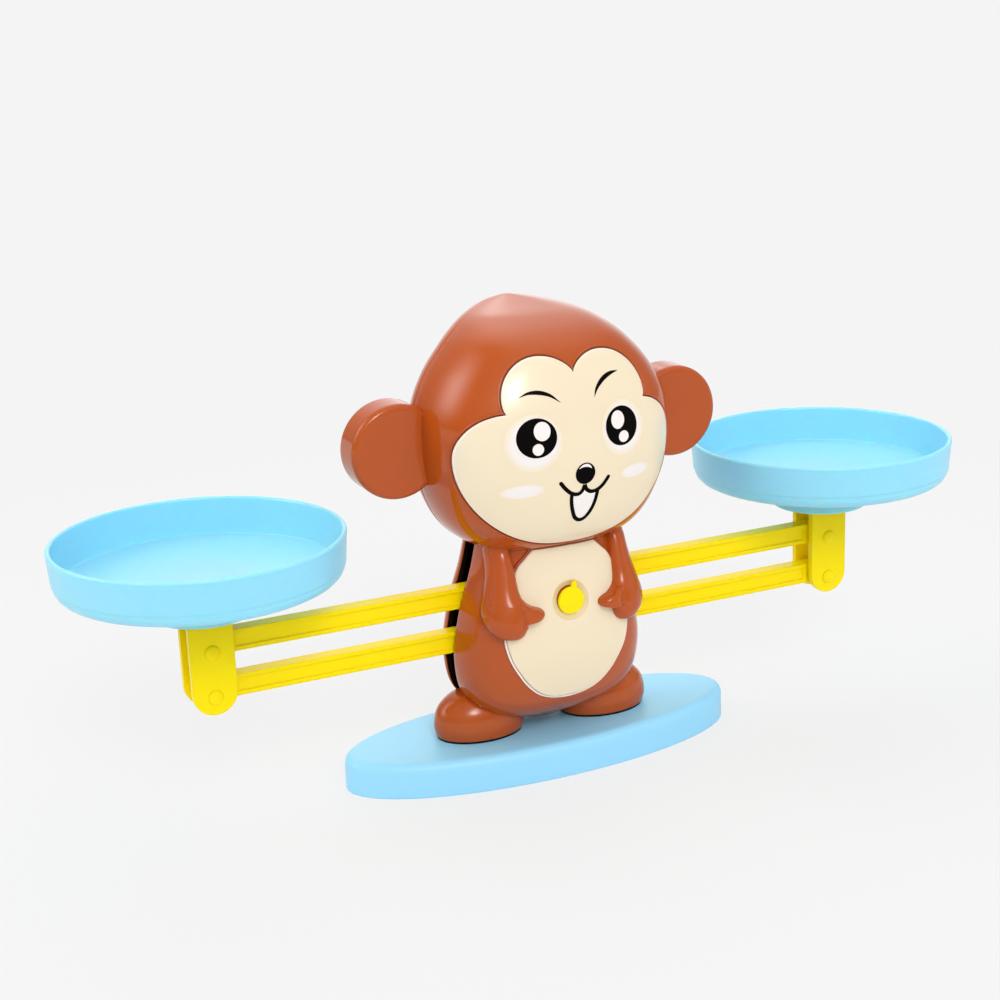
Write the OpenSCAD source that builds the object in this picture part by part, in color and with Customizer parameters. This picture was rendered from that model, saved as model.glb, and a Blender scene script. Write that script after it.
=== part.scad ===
// Toy monkey balance: a moulded plastic monkey on an oval base carries two parallel
// beams. Their ends hinge on two carriers, so both pans stay level as the beams tilt.
// The monkey faces -Y, the beams run along X and the base stands on Z = 0. Millimetres.

/* [Base] */
// Length of the oval base
base_length = 177; // [150:1:200]
// Width of the oval base
base_width = 65; // [56:1:80]
// Height of the base
base_height = 14.5; // [12:0.5:18]
// Radius of the rounded top edge
base_round = 4; // [2:0.5:6]
// Wall of the hollow base
base_wall = 2.2; // [1.6:0.1:3]

/* [Body] */
// Height of the body, from its underside to the neck
body_height = 79; // [75:1:86]
// Gap between the base and the body, which stands on its feet
body_gap = 2.5; // [1.5:0.1:4]
// Half width of the body at its widest
body_half_width = 40.4; // [37:0.1:44]
// Depth of the front shell
body_front_depth = 27.5; // [25:0.5:31]
// Depth of the back shell
body_back_depth = 21.5; // [19:0.5:26]
// Wall of both body shells at their widest
body_wall = 2.2; // [1.8:0.1:3]
// Width of the open slot between the two shells
slot_width = 9; // [8.4:0.1:10]
// Thickness of the belly panel
belly_thickness = 1; // [0.8:0.1:1.6]
// How far the arms stand out over the belly panel
arm_relief = 6.4; // [4:0.1:8]

/* [Head] */
// Height of the head, from the neck to the tip of the tuft
head_height = 98.3; // [92:0.1:106]
// Half width of the head at its widest
head_half_width = 52.3; // [48:0.1:56]
// Depth of the front half of the head
head_front_depth = 43.5; // [40:0.5:47]
// Depth of the back half of the head
head_back_depth = 34; // [31:0.5:37]
// How far the tuft leans back
head_lean = 22; // [10:1:26]
// Wall of both head shells at their widest
head_wall = 2.4; // [1.8:0.1:3]
// How far the face plate stands out
face_relief = 1.2; // [1:0.1:2]
// Radius of the round ears
ear_radius = 19.2; // [16:0.1:22]
// Thickness of the ears
ear_thickness = 14; // [10:0.5:17]
// How far the ears stand before the middle of the object
ear_forward = 11; // [8:0.5:13]
// Height of the ear centres above the neck
ear_rise = 46; // [40:0.5:52]
// Distance of the ear centres from the middle of the head
ear_reach = 62.5; // [60:0.5:66]

/* [Feet] */
// Half length of a foot, across the monkey
foot_half_length = 20; // [17:0.5:22]
// Half width of a foot, from front to back
foot_half_width = 14; // [12:0.5:17]
// Height of a foot
foot_height = 20; // [17:0.5:23]
// Distance of the foot centres from the middle
foot_reach = 29; // [27:0.5:31]

/* [Beams] */
// Distance from the middle pivot to an end pivot
arm_span = 142.6; // [135:0.1:150]
// Distance from the neck down to the upper middle pivot
pivot_drop = 19.6; // [18:0.1:21]
// How far the middle line of a beam lies below its middle pivot
beam_drop = 1.4; // [0.8:0.1:2]
// How far the end pivots lie below the middle pivots
end_drop = 3.2; // [2:0.1:3.6]
// Distance between the upper and the lower pivots
pivot_spacing = 18.5; // [17.5:0.5:20]
// Height of a beam
beam_height = 8.8; // [7.5:0.1:9.5]
// Thickness of a beam
beam_thickness = 6.6; // [6:0.1:7.2]
// Depth of the channel in each face of a beam
channel_depth = 0.7; // [0.5:0.1:1.4]
// Flange left above and below a channel
flange = 1.8; // [1.2:0.1:2.4]
// Largest tilt of the beams, in degrees
beam_tilt = 10; // [6:0.5:10]
// Radius of the pointer on the upper axle
pointer_radius = 5.7; // [5:0.1:6.4]

/* [Carriers and pans] */
// Width of a carrier plate
carrier_width = 17.8; // [16:0.1:20]
// Thickness of a carrier plate
carrier_plate = 2.8; // [2:0.1:4]
// Gap between the two plates of a carrier
carrier_gap = 9.6; // [8.4:0.1:10.5]
// Outer radius of a pan at its rim
pan_radius = 57; // [50:0.5:60]
// Depth of a pan from rim to underside
pan_depth = 18.5; // [15:0.5:22]
// Wall of a pan
pan_wall = 1.8; // [1.4:0.1:2.4]
// Height of a pan's rim above the upper pivots
pan_rise = 42; // [38:0.5:46]
// How far a pan's floor lies above its lower edge
pan_floor_rise = 1.3; // [0.8:0.1:2]
// Radius of the round skirt under a pan
skirt_radius = 20.5; // [18:0.1:24]
// Height of the skirt below a pan's lower edge
skirt_height = 12; // [8:0.5:13]
// Height of the pad that holds a carrier under a pan's floor
pad_height = 2.6; // [2.4:0.1:4]

/* [Pivots and screws] */
// Radius of the two middle axles
axle_radius = 2; // [1.6:0.1:2.4]
// Radius of the pins at the beam ends
pin_radius = 1.6; // [1.2:0.1:2]
// Radius of a pin's head
pin_head_radius = 3.1; // [2.4:0.1:3.6]
// Radius of a screw's shank
screw_radius = 1; // [0.8:0.1:1.3]
// Radius of a screw's head
screw_head_radius = 2.3; // [2:0.1:2.6]

/* [Hidden] */
// Clearances, all radial or per side
running_clearance = 0.05;
loose_clearance = 0.15;
fixed_clearance = 0.02;
seat_clearance = 0.1;
skin_clearance = 0.3;
// One overrun for every cut
overrun = 1;
$fn = 64;

// Mesh steps of the moulded forms
row_steps = 2;
head_columns = 24;
body_columns = 22;
outline_columns = 56;
arm_columns = 10;
body_seat_rows = 10;

// Places that several pieces share
half_slot = slot_width / 2;
body_z = base_height + body_gap;
neck_z = body_z + body_height;
upper_pivot_z = neck_z - pivot_drop;
lower_pivot_z = upper_pivot_z - pivot_spacing;
upper_end_z = upper_pivot_z - end_drop;
lower_end_z = lower_pivot_z - end_drop;
lower_beam_z = lower_pivot_z - beam_drop;
body_middle_z = body_z + body_height / 2;
head_split_y = -body_wall;
head_middle_z = neck_z + ear_rise;
half_base_length = base_length / 2;
half_base_width = base_width / 2;

// Head: height, half width, front depth, back depth and lean, each as a share
head_row_shares = [
    [0, 0.400, 0.410, 0.620, 0],
    [0.025, 0.580, 0.580, 0.780, 0],
    [0.081, 0.745, 0.755, 0.905, 0],
    [0.173, 0.878, 0.878, 0.970, 0],
    [0.315, 0.979, 0.966, 1, 0],
    [0.468, 1.010, 1, 1, 0],
    [0.610, 0.978, 0.970, 0.950, 0],
    [0.743, 0.862, 0.912, 0.845, 0.08],
    [0.844, 0.720, 0.858, 0.710, 0.20],
    [0.905, 0.590, 0.760, 0.550, 0.38],
    [0.951, 0.430, 0.580, 0.390, 0.58],
    [0.983, 0.250, 0.330, 0.250, 0.82],
    [1, 0.030, 0.030, 0.030, 1],
];
head_front_power = 2.8;
head_back_power = 2;

// Body: height, half width, front depth and back depth, each as a share
body_row_shares = [
    [0, 0.150, 0.040, 0.100],
    [0.019, 0.280, 0.130, 0.200],
    [0.057, 0.500, 0.340, 0.400],
    [0.101, 0.680, 0.545, 0.570],
    [0.165, 0.842, 0.745, 0.740],
    [0.241, 0.950, 0.855, 0.870],
    [0.354, 1, 0.945, 0.960],
    [0.494, 1, 1, 1],
    [0.696, 0.917, 0.982, 0.953],
    [0.873, 0.800, 0.898, 0.837],
    [1, 0.735, 0.836, 0.767],
];
body_front_power = 2.8;
body_back_power = 2;

// Belly panel: height as a share of the body, half width as a share of the body's
belly_row_shares = [
    [0.216, 0.030],
    [0.222, 0.130],
    [0.236, 0.230],
    [0.262, 0.330],
    [0.310, 0.432],
    [0.370, 0.520],
    [0.475, 0.630],
    [0.595, 0.670],
    [0.722, 0.600],
    [0.823, 0.532],
    [0.899, 0.512],
    [0.949, 0.450],
    [0.985, 0.365],
];

// Arm: height as a share of the body, its inner and outer edge as shares of the body's half
// width, and its rise as a share of the relief. The bulge of the inner edge is the thumb.
arm_row_shares = [
    [0.568, 0.590, 0.660, 0.08],
    [0.576, 0.545, 0.730, 0.42],
    [0.596, 0.505, 0.790, 0.68],
    [0.634, 0.474, 0.835, 0.90],
    [0.668, 0.452, 0.853, 1],
    [0.686, 0.345, 0.857, 1],
    [0.708, 0.304, 0.860, 1],
    [0.735, 0.322, 0.858, 1],
    [0.758, 0.415, 0.848, 1],
    [0.790, 0.505, 0.828, 0.98],
    [0.835, 0.562, 0.795, 0.95],
    [0.899, 0.595, 0.742, 0.90],
    [0.962, 0.600, 0.702, 0.80],
    [0.985, 0.600, 0.690, 0.70],
];

// Foot: height and size of each section as shares
foot_row_shares = [
    [0, 0.80],
    [0.05, 0.90],
    [0.14, 0.97],
    [0.28, 1],
    [0.50, 0.965],
    [0.67, 0.88],
    [0.85, 0.69],
    [0.95, 0.465],
    [1, 0.20],
];
foot_centre_y = -foot_half_width * 0.11;
foot_screw_x = foot_reach + foot_half_length * 0.35;

// Width of the step where an arm passes over the belly panel's edge
arm_step_width = belly_thickness;

// Face plate outline, as radii from a centre on the face
face_centre_z = neck_z + head_height * 0.455;
face_cheek = head_half_width * 0.876;
face_chin = head_height * 0.392;
face_notch_x = head_half_width * 0.565;
face_notch_z = head_height * 0.180;
face_top = head_height * 0.312;
face_lobe = head_height * 0.092;
face_notch_angle = atan2(face_notch_z, face_notch_x);
face_notch_radius = norm([face_notch_x, face_notch_z]);
face_ring_shares = [0.1, 0.36, 0.58, 0.76, 0.9, 1];
face_edge_share = 0.965;
ear_round_share = 0.18;
ear_back_y = ear_thickness - ear_forward;

// Beams
beam_eye_radius = beam_height / 2 + flange / 4;
hub_radius = beam_height / 2 + flange;
hub_length = slot_width - 2 * skin_clearance;
eye_length = carrier_gap - 2 * skin_clearance;
channel_start = hub_radius + flange;
channel_stop = arm_span - carrier_width / 2 - flange;
channel_height = beam_height - 2 * flange;

// Carriers and pans
carrier_depth = carrier_gap + 2 * carrier_plate;
pan_rim_z = upper_pivot_z + pan_rise;
pan_foot_z = pan_rim_z - pan_depth;
carrier_top_z = pan_foot_z + pan_floor_rise - pad_height;
bridge_height = carrier_plate * 2;
tenon_width = carrier_width - 2 * carrier_plate;
tenon_depth = carrier_gap;
tenon_height = pad_height - seat_clearance;
pad_radius = skirt_radius - 2 * pan_wall;
pan_step_share = 0.72;
pan_step = pan_wall / 4;
pan_taper = pan_wall / 2;
pan_cove = pan_depth * (1 - pan_step_share);
pan_cove_steps = 5;
pan_lip_share = 0.55;
pin_head_height = pin_head_radius * 0.4;
pin_head_steps = 5;

// Axles and their bosses
axle_boss_radius = axle_radius + body_wall;
axle_back_y = half_slot + body_back_depth / 2;
axle_front_y = -half_slot - body_front_depth / 2;

// Screws and the posts that hold them
post_radius = screw_head_radius + body_wall / 2;
screw_web = 4 * screw_radius;
screw_grip = 8 * screw_radius;
screw_head_height = 1.6 * screw_radius;
body_post_x = body_half_width * 0.36;
body_post_drop = beam_height / 2 + (body_post_x + post_radius) * tan(beam_tilt) + post_radius
    + skin_clearance;
body_post_low_z = lower_beam_z - body_post_drop;
body_post_high_z = upper_pivot_z + body_post_drop;
body_post_places = [
    [-body_post_x, body_post_low_z], [body_post_x, body_post_low_z],
    [-body_post_x, body_post_high_z], [body_post_x, body_post_high_z],
];
head_post_x = head_half_width * 0.36;
head_post_low_z = neck_z + head_height * 0.2;
head_post_high_z = neck_z + head_height * 0.7;
head_post_places = [
    [-head_post_x, head_post_low_z], [head_post_x, head_post_low_z],
    [-head_post_x, head_post_high_z], [head_post_x, head_post_high_z],
];

// Neck: a split collar on the body with a flange inside the head
neck_radius = body_half_width * 0.3;
neck_wall = body_wall;
neck_flange = body_wall;
head_floor = ear_rise * head_wall / head_half_width;
neck_floor_top = neck_z + head_floor + seat_clearance;

// Smooth curve through the rows of a table
function between(rows, i, t) =
    let (
        b = rows[i],
        c = rows[i + 1],
        a = i > 0 ? rows[i - 1] : 2 * b - c,
        d = i + 2 < len(rows) ? rows[i + 2] : 2 * c - b
    )
    0.5 * (2 * b + (c - a) * t + (2 * a - 5 * b + 4 * c - d) * t * t
        + (3 * b - a - 3 * c + d) * t * t * t);
function smooth(rows, steps) = [
    for (i = [0:len(rows) - 2]) for (s = [0:steps - 1]) between(rows, i, s / steps),
    rows[len(rows) - 1],
];

// Radius of a rounded section at one angle, and half of that section on one side
function section_radius(w, d, power, a) =
    pow(pow(abs(cos(a)) / w, power) + pow(abs(sin(a)) / d, power), -1 / power);
function half_section(w, d, y, side, power, z, columns) = [
    for (j = [0:columns])
        let (a = 180 * j / columns, r = section_radius(w, d, power, a))
        [r * cos(a), y + side * r * sin(a), z],
];

// Head and body as rows of real sizes
head_rows = [
    for (r = smooth(head_row_shares, row_steps)) [
        neck_z + r[0] * head_height, r[1] * head_half_width,
        r[2] * head_front_depth, r[3] * head_back_depth, head_split_y + r[4] * head_lean,
    ],
];
body_rows = [
    for (r = smooth(body_row_shares, row_steps)) [
        body_z + r[0] * body_height, r[1] * body_half_width,
        r[2] * body_front_depth, r[3] * body_back_depth,
    ],
];
function column(rows, k) = [for (r = rows) [r[0], r[k]]];
head_width_at = column(head_rows, 1);
head_front_at = column(head_rows, 2);
head_split_at = column(head_rows, 4);
body_width_at = column(body_rows, 1);
body_front_at = column(body_rows, 2);
body_back_at = column(body_rows, 3);

// Depth of a moulded surface at one point, from its half width and depth there
function bulge(x, w, d, power) = d * pow(1 - pow(min(abs(x) / w, 1), power), 1 / power);
function head_y(x, z) = lookup(z, head_split_at)
    - bulge(x, lookup(z, head_width_at), lookup(z, head_front_at), head_front_power);
function body_y(x, z) = -half_slot
    - bulge(x, lookup(z, body_width_at), lookup(z, body_front_at), body_front_power);
function body_back_y(x, z) = half_slot
    + bulge(x, lookup(z, body_width_at), lookup(z, body_back_at), body_back_power);
// Point on the body's front at one place, moved out along the section's normal
function body_out(x, z, out) =
    let (
        w = lookup(z, body_width_at),
        d = lookup(z, body_front_at),
        deep = bulge(x, w, d, body_front_power),
        across = pow(min(abs(x) / w, 1), body_front_power - 1) / w,
        along = pow(deep / d, body_front_power - 1) / d,
        reach = out / norm([across, along])
    )
    [x + sign(x) * across * reach, -half_slot - deep - along * reach, z];

// Pegs that hold the arms and the belly panel in the front shell
peg_radius = body_wall;
peg_length = 2 * body_wall;
arm_peg_x = body_half_width * 0.66;
arm_peg_z = body_z + body_height * 0.85;
arm_peg_y = body_y(arm_peg_x, arm_peg_z);
belly_peg_x = body_half_width * 0.45;
belly_peg_z = body_z + body_height * 0.52;
belly_peg_y = body_y(belly_peg_x, belly_peg_z);

// Pointer on the front of the upper axle
pointer_back_y = body_y(0, upper_pivot_z - pointer_radius) - skin_clearance;
pointer_thickness = belly_thickness + skin_clearance;
pointer_face_y = pointer_back_y - pointer_thickness;
pointer_bore_y = pointer_back_y - belly_thickness;
pointer_tab_radius = pointer_radius * 0.2;
pointer_tab_rise = pointer_radius * 1.15;
pointer_hole_radius = pointer_radius + skin_clearance;
pointer_dish_radius = pointer_radius * 1.4;
pointer_dish_y = body_y(0, upper_pivot_z - pointer_dish_radius) - skin_clearance - belly_thickness;
pointer_dish_depth = 2 * skin_clearance;

// Grids of points for the four moulded shells
head_front_grid = [
    for (r = head_rows) half_section(r[1], r[2], r[4], -1, head_front_power, r[0], head_columns),
];
head_back_grid = [
    for (r = head_rows) half_section(r[1], r[3], r[4], 1, head_back_power, r[0], head_columns),
];
body_front_grid = [
    for (r = body_rows)
        half_section(r[1], r[2], -half_slot, -1, body_front_power, r[0], body_columns),
];
body_back_grid = [
    for (r = body_rows)
        half_section(r[1], r[3], half_slot, 1, body_back_power, r[0], body_columns),
];
function shrunk(grid, centre, share) = [
    for (row = grid) [for (p = row) centre + (p - centre) * share],
];
// Every second point of a grid, which is enough for a form that ends inside a wall
function thinned(grid) = [
    for (i = [0:2:len(grid) - 1]) [for (j = [0:2:len(grid[i]) - 1]) grid[i][j]],
];
function body_grown_grid(out) = [
    for (r = body_rows)
        half_section(r[1] + out, r[2] + out, -half_slot, -1, body_front_power, r[0], body_columns),
];

// Closed skin over a stack of closed loops, all with the same number of points. From column
// turn onwards the diagonals turn the other way, so that a thin form's two faces match.
module skin(loops, turn = undef) {
    n = len(loops[0]);
    top = len(loops) - 1;
    turned_from = is_undef(turn) ? n : turn;
    polyhedron(
        points = [for (loop = loops) each loop],
        faces = [
            [for (j = [0:n - 1]) j],
            [for (j = [n - 1:-1:0]) top * n + j],
            for (i = [0:top - 1]) for (j = [0:n - 1])
                let (k = (j + 1) % n, a = i * n + j, b = i * n + k, c = a + n, d = b + n)
                each j < turned_from ? [[a, c, d], [a, d, b]] : [[a, c, b], [b, c, d]],
        ]
    );
}

// Half shell between an outer and an inner grid that share the parting plane
module half_shell(outer, inner, side) {
    m = len(outer[0]) - 1;
    top = len(outer) - 1;
    size = (m + 1) * (top + 1);
    function o(i, j) = i * (m + 1) + j;
    function n(i, j) = size + o(i, j);
    function turned(face) = side > 0 ? face : [for (k = [len(face) - 1:-1:0]) face[k]];
    polyhedron(
        points = [for (row = outer) each row, for (row = inner) each row],
        faces = [
            for (i = [0:top - 1]) for (j = [0:m - 1]) each [
                turned([o(i, j), o(i + 1, j), o(i + 1, j + 1)]),
                turned([o(i, j), o(i + 1, j + 1), o(i, j + 1)]),
                turned([n(i, j), n(i + 1, j + 1), n(i + 1, j)]),
                turned([n(i, j), n(i, j + 1), n(i + 1, j + 1)]),
            ],
            for (i = [0:top - 1]) each [
                turned([o(i, 0), n(i, 0), n(i + 1, 0)]),
                turned([o(i, 0), n(i + 1, 0), o(i + 1, 0)]),
                turned([o(i, m), n(i + 1, m), n(i, m)]),
                turned([o(i, m), o(i + 1, m), n(i + 1, m)]),
            ],
            turned([for (j = [0:m]) o(0, j)]),
            turned([for (j = [m:-1:0]) n(0, j)]),
            turned([for (j = [m:-1:0]) o(top, j)]),
            turned([for (j = [0:m]) n(top, j)]),
            turned([o(0, 0), o(0, m), n(0, m), n(0, 0)]),
            turned([o(top, 0), n(top, 0), n(top, m), o(top, m)]),
        ]
    );
}

// Screw posts of one half shell: from the joint plane to the middle of the shell's wall
module posts(places, grid, centre, wall_share, side, joint_y) {
    middle = shrunk(thinned(grid), centre, 1 - wall_share / 2);
    foot_y = centre[1] + side * screw_web;
    far_y = centre[1] + side * head_half_width;
    for (p = places) rod(post_radius, min(joint_y, foot_y), max(joint_y, foot_y), p[0], p[1]);
    intersection() {
        for (p = places) rod(post_radius, min(centre[1], far_y), max(centre[1], far_y), p[0], p[1]);
        skin([for (row = middle) side > 0 ? row : [for (j = [len(row) - 1:-1:0]) row[j]]]);
    }
}

// Half width of the belly panel at one height, and the panel's outline
belly_rows = [
    for (r = smooth(belly_row_shares, row_steps))
        [body_z + r[0] * body_height, r[1] * body_half_width],
];
function belly_edge(z) = lookup(z, belly_rows);
belly_outline = [
    for (r = belly_rows) [r[1], r[0]],
    for (i = [len(belly_rows) - 1:-1:0]) [-belly_rows[i][1], belly_rows[i][0]],
];

// Domed form on the front of the body: rows hold height, inner and outer edge and the share
// of the rise. The lift is the gap under it where the belly panel is absent, the step its
// gain over the panel.
module body_relief(rows, lift, step, rise, columns) {
    skin([
        for (r = rows) [
            for (j = [0:columns])
                let (
                    t = j / columns,
                    x = r[1] + (r[2] - r[1]) * t,
                    crown = sqrt(max(1 - pow(2 * t - 1, 2), 0))
                )
                body_out(x, r[0], lift + step + rise * r[3] * crown),
            for (j = [columns:-1:0])
                let (
                    x = r[1] + (r[2] - r[1]) * j / columns,
                    over_panel = x < belly_edge(r[0]) + arm_step_width
                )
                body_out(x, r[0], lift + (over_panel ? step / 2 : 0)),
        ],
    ], columns + 1);
}

// Cylinder along Y between two depths
module rod(r, y0, y1, x, z) {
    translate([x, y0, z]) rotate([-90, 0, 0]) cylinder(r = r, h = y1 - y0);
}

// Oval base

function base_loop(inset, z) = [
    for (j = [0:outline_columns - 1])
        let (a = 360 * j / outline_columns)
        [(half_base_length - inset) * cos(a), (half_base_width - inset) * sin(a), z],
];
base_round_steps = 4;
module base_plate() {
    post_height = base_height - base_wall;
    rib_half_length = half_base_width - 2 * base_round;
    color("skyblue") difference() {
        union() {
            difference() {
                skin([
                    base_loop(0, 0),
                    for (s = [0:base_round_steps])
                        let (a = 90 * s / base_round_steps)
                        base_loop(base_round * (1 - cos(a)),
                            base_height - base_round * (1 - sin(a))),
                ]);
                translate([0, 0, -overrun]) linear_extrude(base_height - base_wall + overrun)
                    polygon([for (p = base_loop(base_round, 0)) [p[0], p[1]]]);
            }
            for (s = [-1, 1]) translate([s * foot_screw_x, foot_centre_y, base_wall])
                cylinder(r = post_radius, h = post_height - base_wall / 2);
            for (s = [-1, 0, 1])
                translate([s * half_base_length / 2 - base_wall / 2, -rib_half_length, base_wall])
                    cube([base_wall, 2 * rib_half_length, post_height - base_wall / 2]);
        }
        for (s = [-1, 1]) translate([s * foot_screw_x, foot_centre_y, -overrun]) {
            cylinder(r = screw_radius + seat_clearance, h = base_height + 2 * overrun);
            cylinder(r = screw_head_radius + seat_clearance, h = base_height - screw_web + overrun);
        }
    }
}

// Feet

module foot_form() {
    skin([
        for (r = smooth(foot_row_shares, row_steps)) [
            for (j = [0:outline_columns / 2 - 1])
                let (a = 720 * j / outline_columns)
                [
                    foot_half_length * r[1] * cos(a),
                    foot_half_width * r[1] * sin(a),
                    foot_height * r[0],
                ],
        ],
    ]);
}
// The body's outer form with the slot filled, a little larger, to seat the feet
function grown(p, grow) = [p[0] * grow, p[1] * grow, p[2]];
module body_form() {
    grow = 1 + skin_clearance / body_half_width;
    skin([
        for (i = [0:body_seat_rows]) [
            for (j = [body_columns:-1:0]) grown(body_front_grid[i][j], grow),
            for (j = [0:body_columns]) grown(body_back_grid[i][j], grow),
        ],
    ]);
}
module foot(side) {
    color("sienna") difference() {
        translate([side * foot_reach, foot_centre_y, base_height]) foot_form();
        translate([0, 0, -seat_clearance]) body_form();
        translate([side * foot_screw_x, foot_centre_y, base_height - overrun])
            cylinder(r = screw_radius + fixed_clearance, h = screw_grip + overrun);
    }
}
module left_foot() { foot(-1); }
module right_foot() { foot(1); }

// Body: two shells with a slot between them, joined by posts and screws

module neck_half(side) {
    collar_z = neck_z - body_wall / 2;
    collar_height = neck_floor_top + neck_flange - collar_z;
    reach = neck_radius + neck_flange + overrun;
    difference() {
        union() {
            translate([0, 0, collar_z]) cylinder(r = neck_radius, h = collar_height);
            translate([0, 0, neck_floor_top]) cylinder(r = neck_radius + neck_flange, h = neck_flange);
        }
        translate([0, 0, collar_z - overrun])
            cylinder(r = neck_radius - neck_wall, h = collar_height + 2 * overrun);
        translate([-reach, side < 0 ? -half_slot : -reach, collar_z - overrun])
            cube([2 * reach, reach + half_slot, collar_height + 2 * overrun]);
    }
}
module body_front() {
    centre = [0, -half_slot, body_middle_z];
    wall_share = body_wall / body_half_width;
    inner = shrunk(body_front_grid, centre, 1 - wall_share);
    far_y = -half_slot - body_front_depth - overrun;
    color("sienna") difference() {
        union() {
            half_shell(body_front_grid, inner, -1);
            posts(body_post_places, body_front_grid, centre, wall_share, -1, 0);
            for (z = [upper_pivot_z, lower_pivot_z])
                rod(axle_boss_radius, body_y(axle_boss_radius, z) + body_wall / 2, -half_slot, 0, z);
            neck_half(-1);
        }
        for (p = body_post_places)
            rod(screw_radius + fixed_clearance, -screw_grip - seat_clearance, overrun, p[0], p[1]);
        for (side = [-1, 1]) {
            rod(peg_radius + seat_clearance, far_y, arm_peg_y + peg_length + overrun,
                side * arm_peg_x, arm_peg_z);
            rod(peg_radius + seat_clearance, far_y, belly_peg_y + peg_length + overrun,
                side * belly_peg_x, belly_peg_z);
        }
        rod(axle_radius + running_clearance, far_y, -half_slot + overrun, 0, upper_pivot_z);
        rod(axle_radius + fixed_clearance, axle_front_y - seat_clearance, -half_slot + overrun, 0,
            lower_pivot_z);
    }
}
module body_back() {
    centre = [0, half_slot, body_middle_z];
    wall_share = body_wall / body_half_width;
    inner = shrunk(body_back_grid, centre, 1 - wall_share);
    far_y = half_slot + body_back_depth + overrun;
    color("sienna") difference() {
        union() {
            half_shell(body_back_grid, inner, 1);
            posts(body_post_places, body_back_grid, centre, wall_share, 1, 0);
            for (z = [upper_pivot_z, lower_pivot_z])
                rod(axle_boss_radius, half_slot, body_back_y(axle_boss_radius, z) - body_wall / 2, 0, z);
            neck_half(1);
        }
        for (p = body_post_places) {
            rod(screw_radius + seat_clearance, -overrun, far_y, p[0], p[1]);
            rod(screw_head_radius + seat_clearance, screw_web, far_y, p[0], p[1]);
        }
        rod(axle_radius + running_clearance, half_slot - overrun, axle_back_y + seat_clearance, 0,
            upper_pivot_z);
        rod(axle_radius + fixed_clearance, half_slot - overrun, axle_back_y + seat_clearance, 0,
            lower_pivot_z);
    }
}
module belly_panel() {
    far_y = -half_slot - body_front_depth - skin_clearance - belly_thickness - overrun;
    color("gold") difference() {
        union() {
            intersection() {
                half_shell(body_grown_grid(skin_clearance + belly_thickness),
                    body_grown_grid(skin_clearance), -1);
                rotate([90, 0, 0]) linear_extrude(-far_y) polygon(belly_outline);
            }
            for (side = [-1, 1])
                rod(peg_radius, belly_peg_y - skin_clearance - belly_thickness / 2,
                    belly_peg_y + peg_length, side * belly_peg_x, belly_peg_z);
        }
        rod(pointer_hole_radius, far_y, -half_slot, 0, upper_pivot_z);
        translate([0, pointer_dish_y, upper_pivot_z]) rotate([-90, 0, 0])
            cylinder(r1 = pointer_dish_radius, r2 = pointer_hole_radius, h = pointer_dish_depth);
    }
}
arm_step = 2 * (belly_thickness + skin_clearance);
module arm_form() {
    rows = [
        for (r = smooth(arm_row_shares, row_steps))
            [body_z + r[0] * body_height, r[1] * body_half_width, r[2] * body_half_width, r[3]],
    ];
    crown = arm_relief - belly_thickness - 2 * skin_clearance;
    color("sienna") {
        body_relief(rows, skin_clearance, arm_step, crown, arm_columns);
        rod(peg_radius, arm_peg_y - arm_step, arm_peg_y + peg_length, arm_peg_x, arm_peg_z);
    }
}
module left_arm() { mirror([1, 0, 0]) arm_form(); }
module right_arm() { arm_form(); }

// Head: two shells that clamp the ears and the neck flange, with a face plate in front

module ear_socket(side) {
    rod(ear_radius + seat_clearance, -ear_forward - seat_clearance, ear_back_y + seat_clearance,
        side * ear_reach, head_middle_z);
}
module neck_hole() {
    translate([0, 0, neck_z - overrun])
        cylinder(r = neck_radius + seat_clearance, h = head_floor + 2 * overrun);
}
module head_front() {
    centre = [0, head_split_y, head_middle_z];
    wall_share = head_wall / head_half_width;
    inner = shrunk(head_front_grid, centre, 1 - wall_share);
    color("sienna") difference() {
        union() {
            half_shell(head_front_grid, inner, -1);
            posts(head_post_places, head_front_grid, centre, wall_share, -1, head_split_y);
        }
        for (p = head_post_places)
            rod(screw_radius + fixed_clearance, head_split_y - screw_grip - seat_clearance,
                head_split_y + overrun, p[0], p[1]);
        neck_hole();
        for (side = [-1, 1]) ear_socket(side);
    }
}
module head_back() {
    centre = [0, head_split_y, head_middle_z];
    wall_share = head_wall / head_half_width;
    inner = shrunk(head_back_grid, centre, 1 - wall_share);
    far_y = head_back_depth + overrun;
    color("sienna") difference() {
        union() {
            half_shell(head_back_grid, inner, 1);
            posts(head_post_places, head_back_grid, centre, wall_share, 1, head_split_y);
        }
        for (p = head_post_places) {
            rod(screw_radius + seat_clearance, head_split_y - overrun, far_y, p[0], p[1]);
            rod(screw_head_radius + seat_clearance, head_split_y + screw_web, far_y, p[0], p[1]);
        }
        neck_hole();
        for (side = [-1, 1]) ear_socket(side);
    }
}
function face_radius(a) =
    a < 0 ? 1 / norm([cos(a) / face_cheek, sin(a) / face_chin])
    : a < face_notch_angle
        ? face_cheek + (face_notch_radius - face_cheek) * pow(a / face_notch_angle, 2.2)
        : let (t = (a - face_notch_angle) / (90 - face_notch_angle))
            face_notch_radius + (face_top - face_notch_radius) * t
            + face_lobe * pow(max(sin(180 * t), 0), 0.7);
function face_loop(share, lift) = [
    for (j = [0:outline_columns - 1])
        let (
            a = 360 * j / outline_columns,
            r = share * face_radius(atan2(sin(a), abs(cos(a)))),
            x = r * cos(a),
            z = face_centre_z + r * sin(a),
            flat = share == face_ring_shares[0]
        )
        [x, (flat ? head_y(0, face_centre_z) : head_y(x, z)) - lift, z],
];
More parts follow.
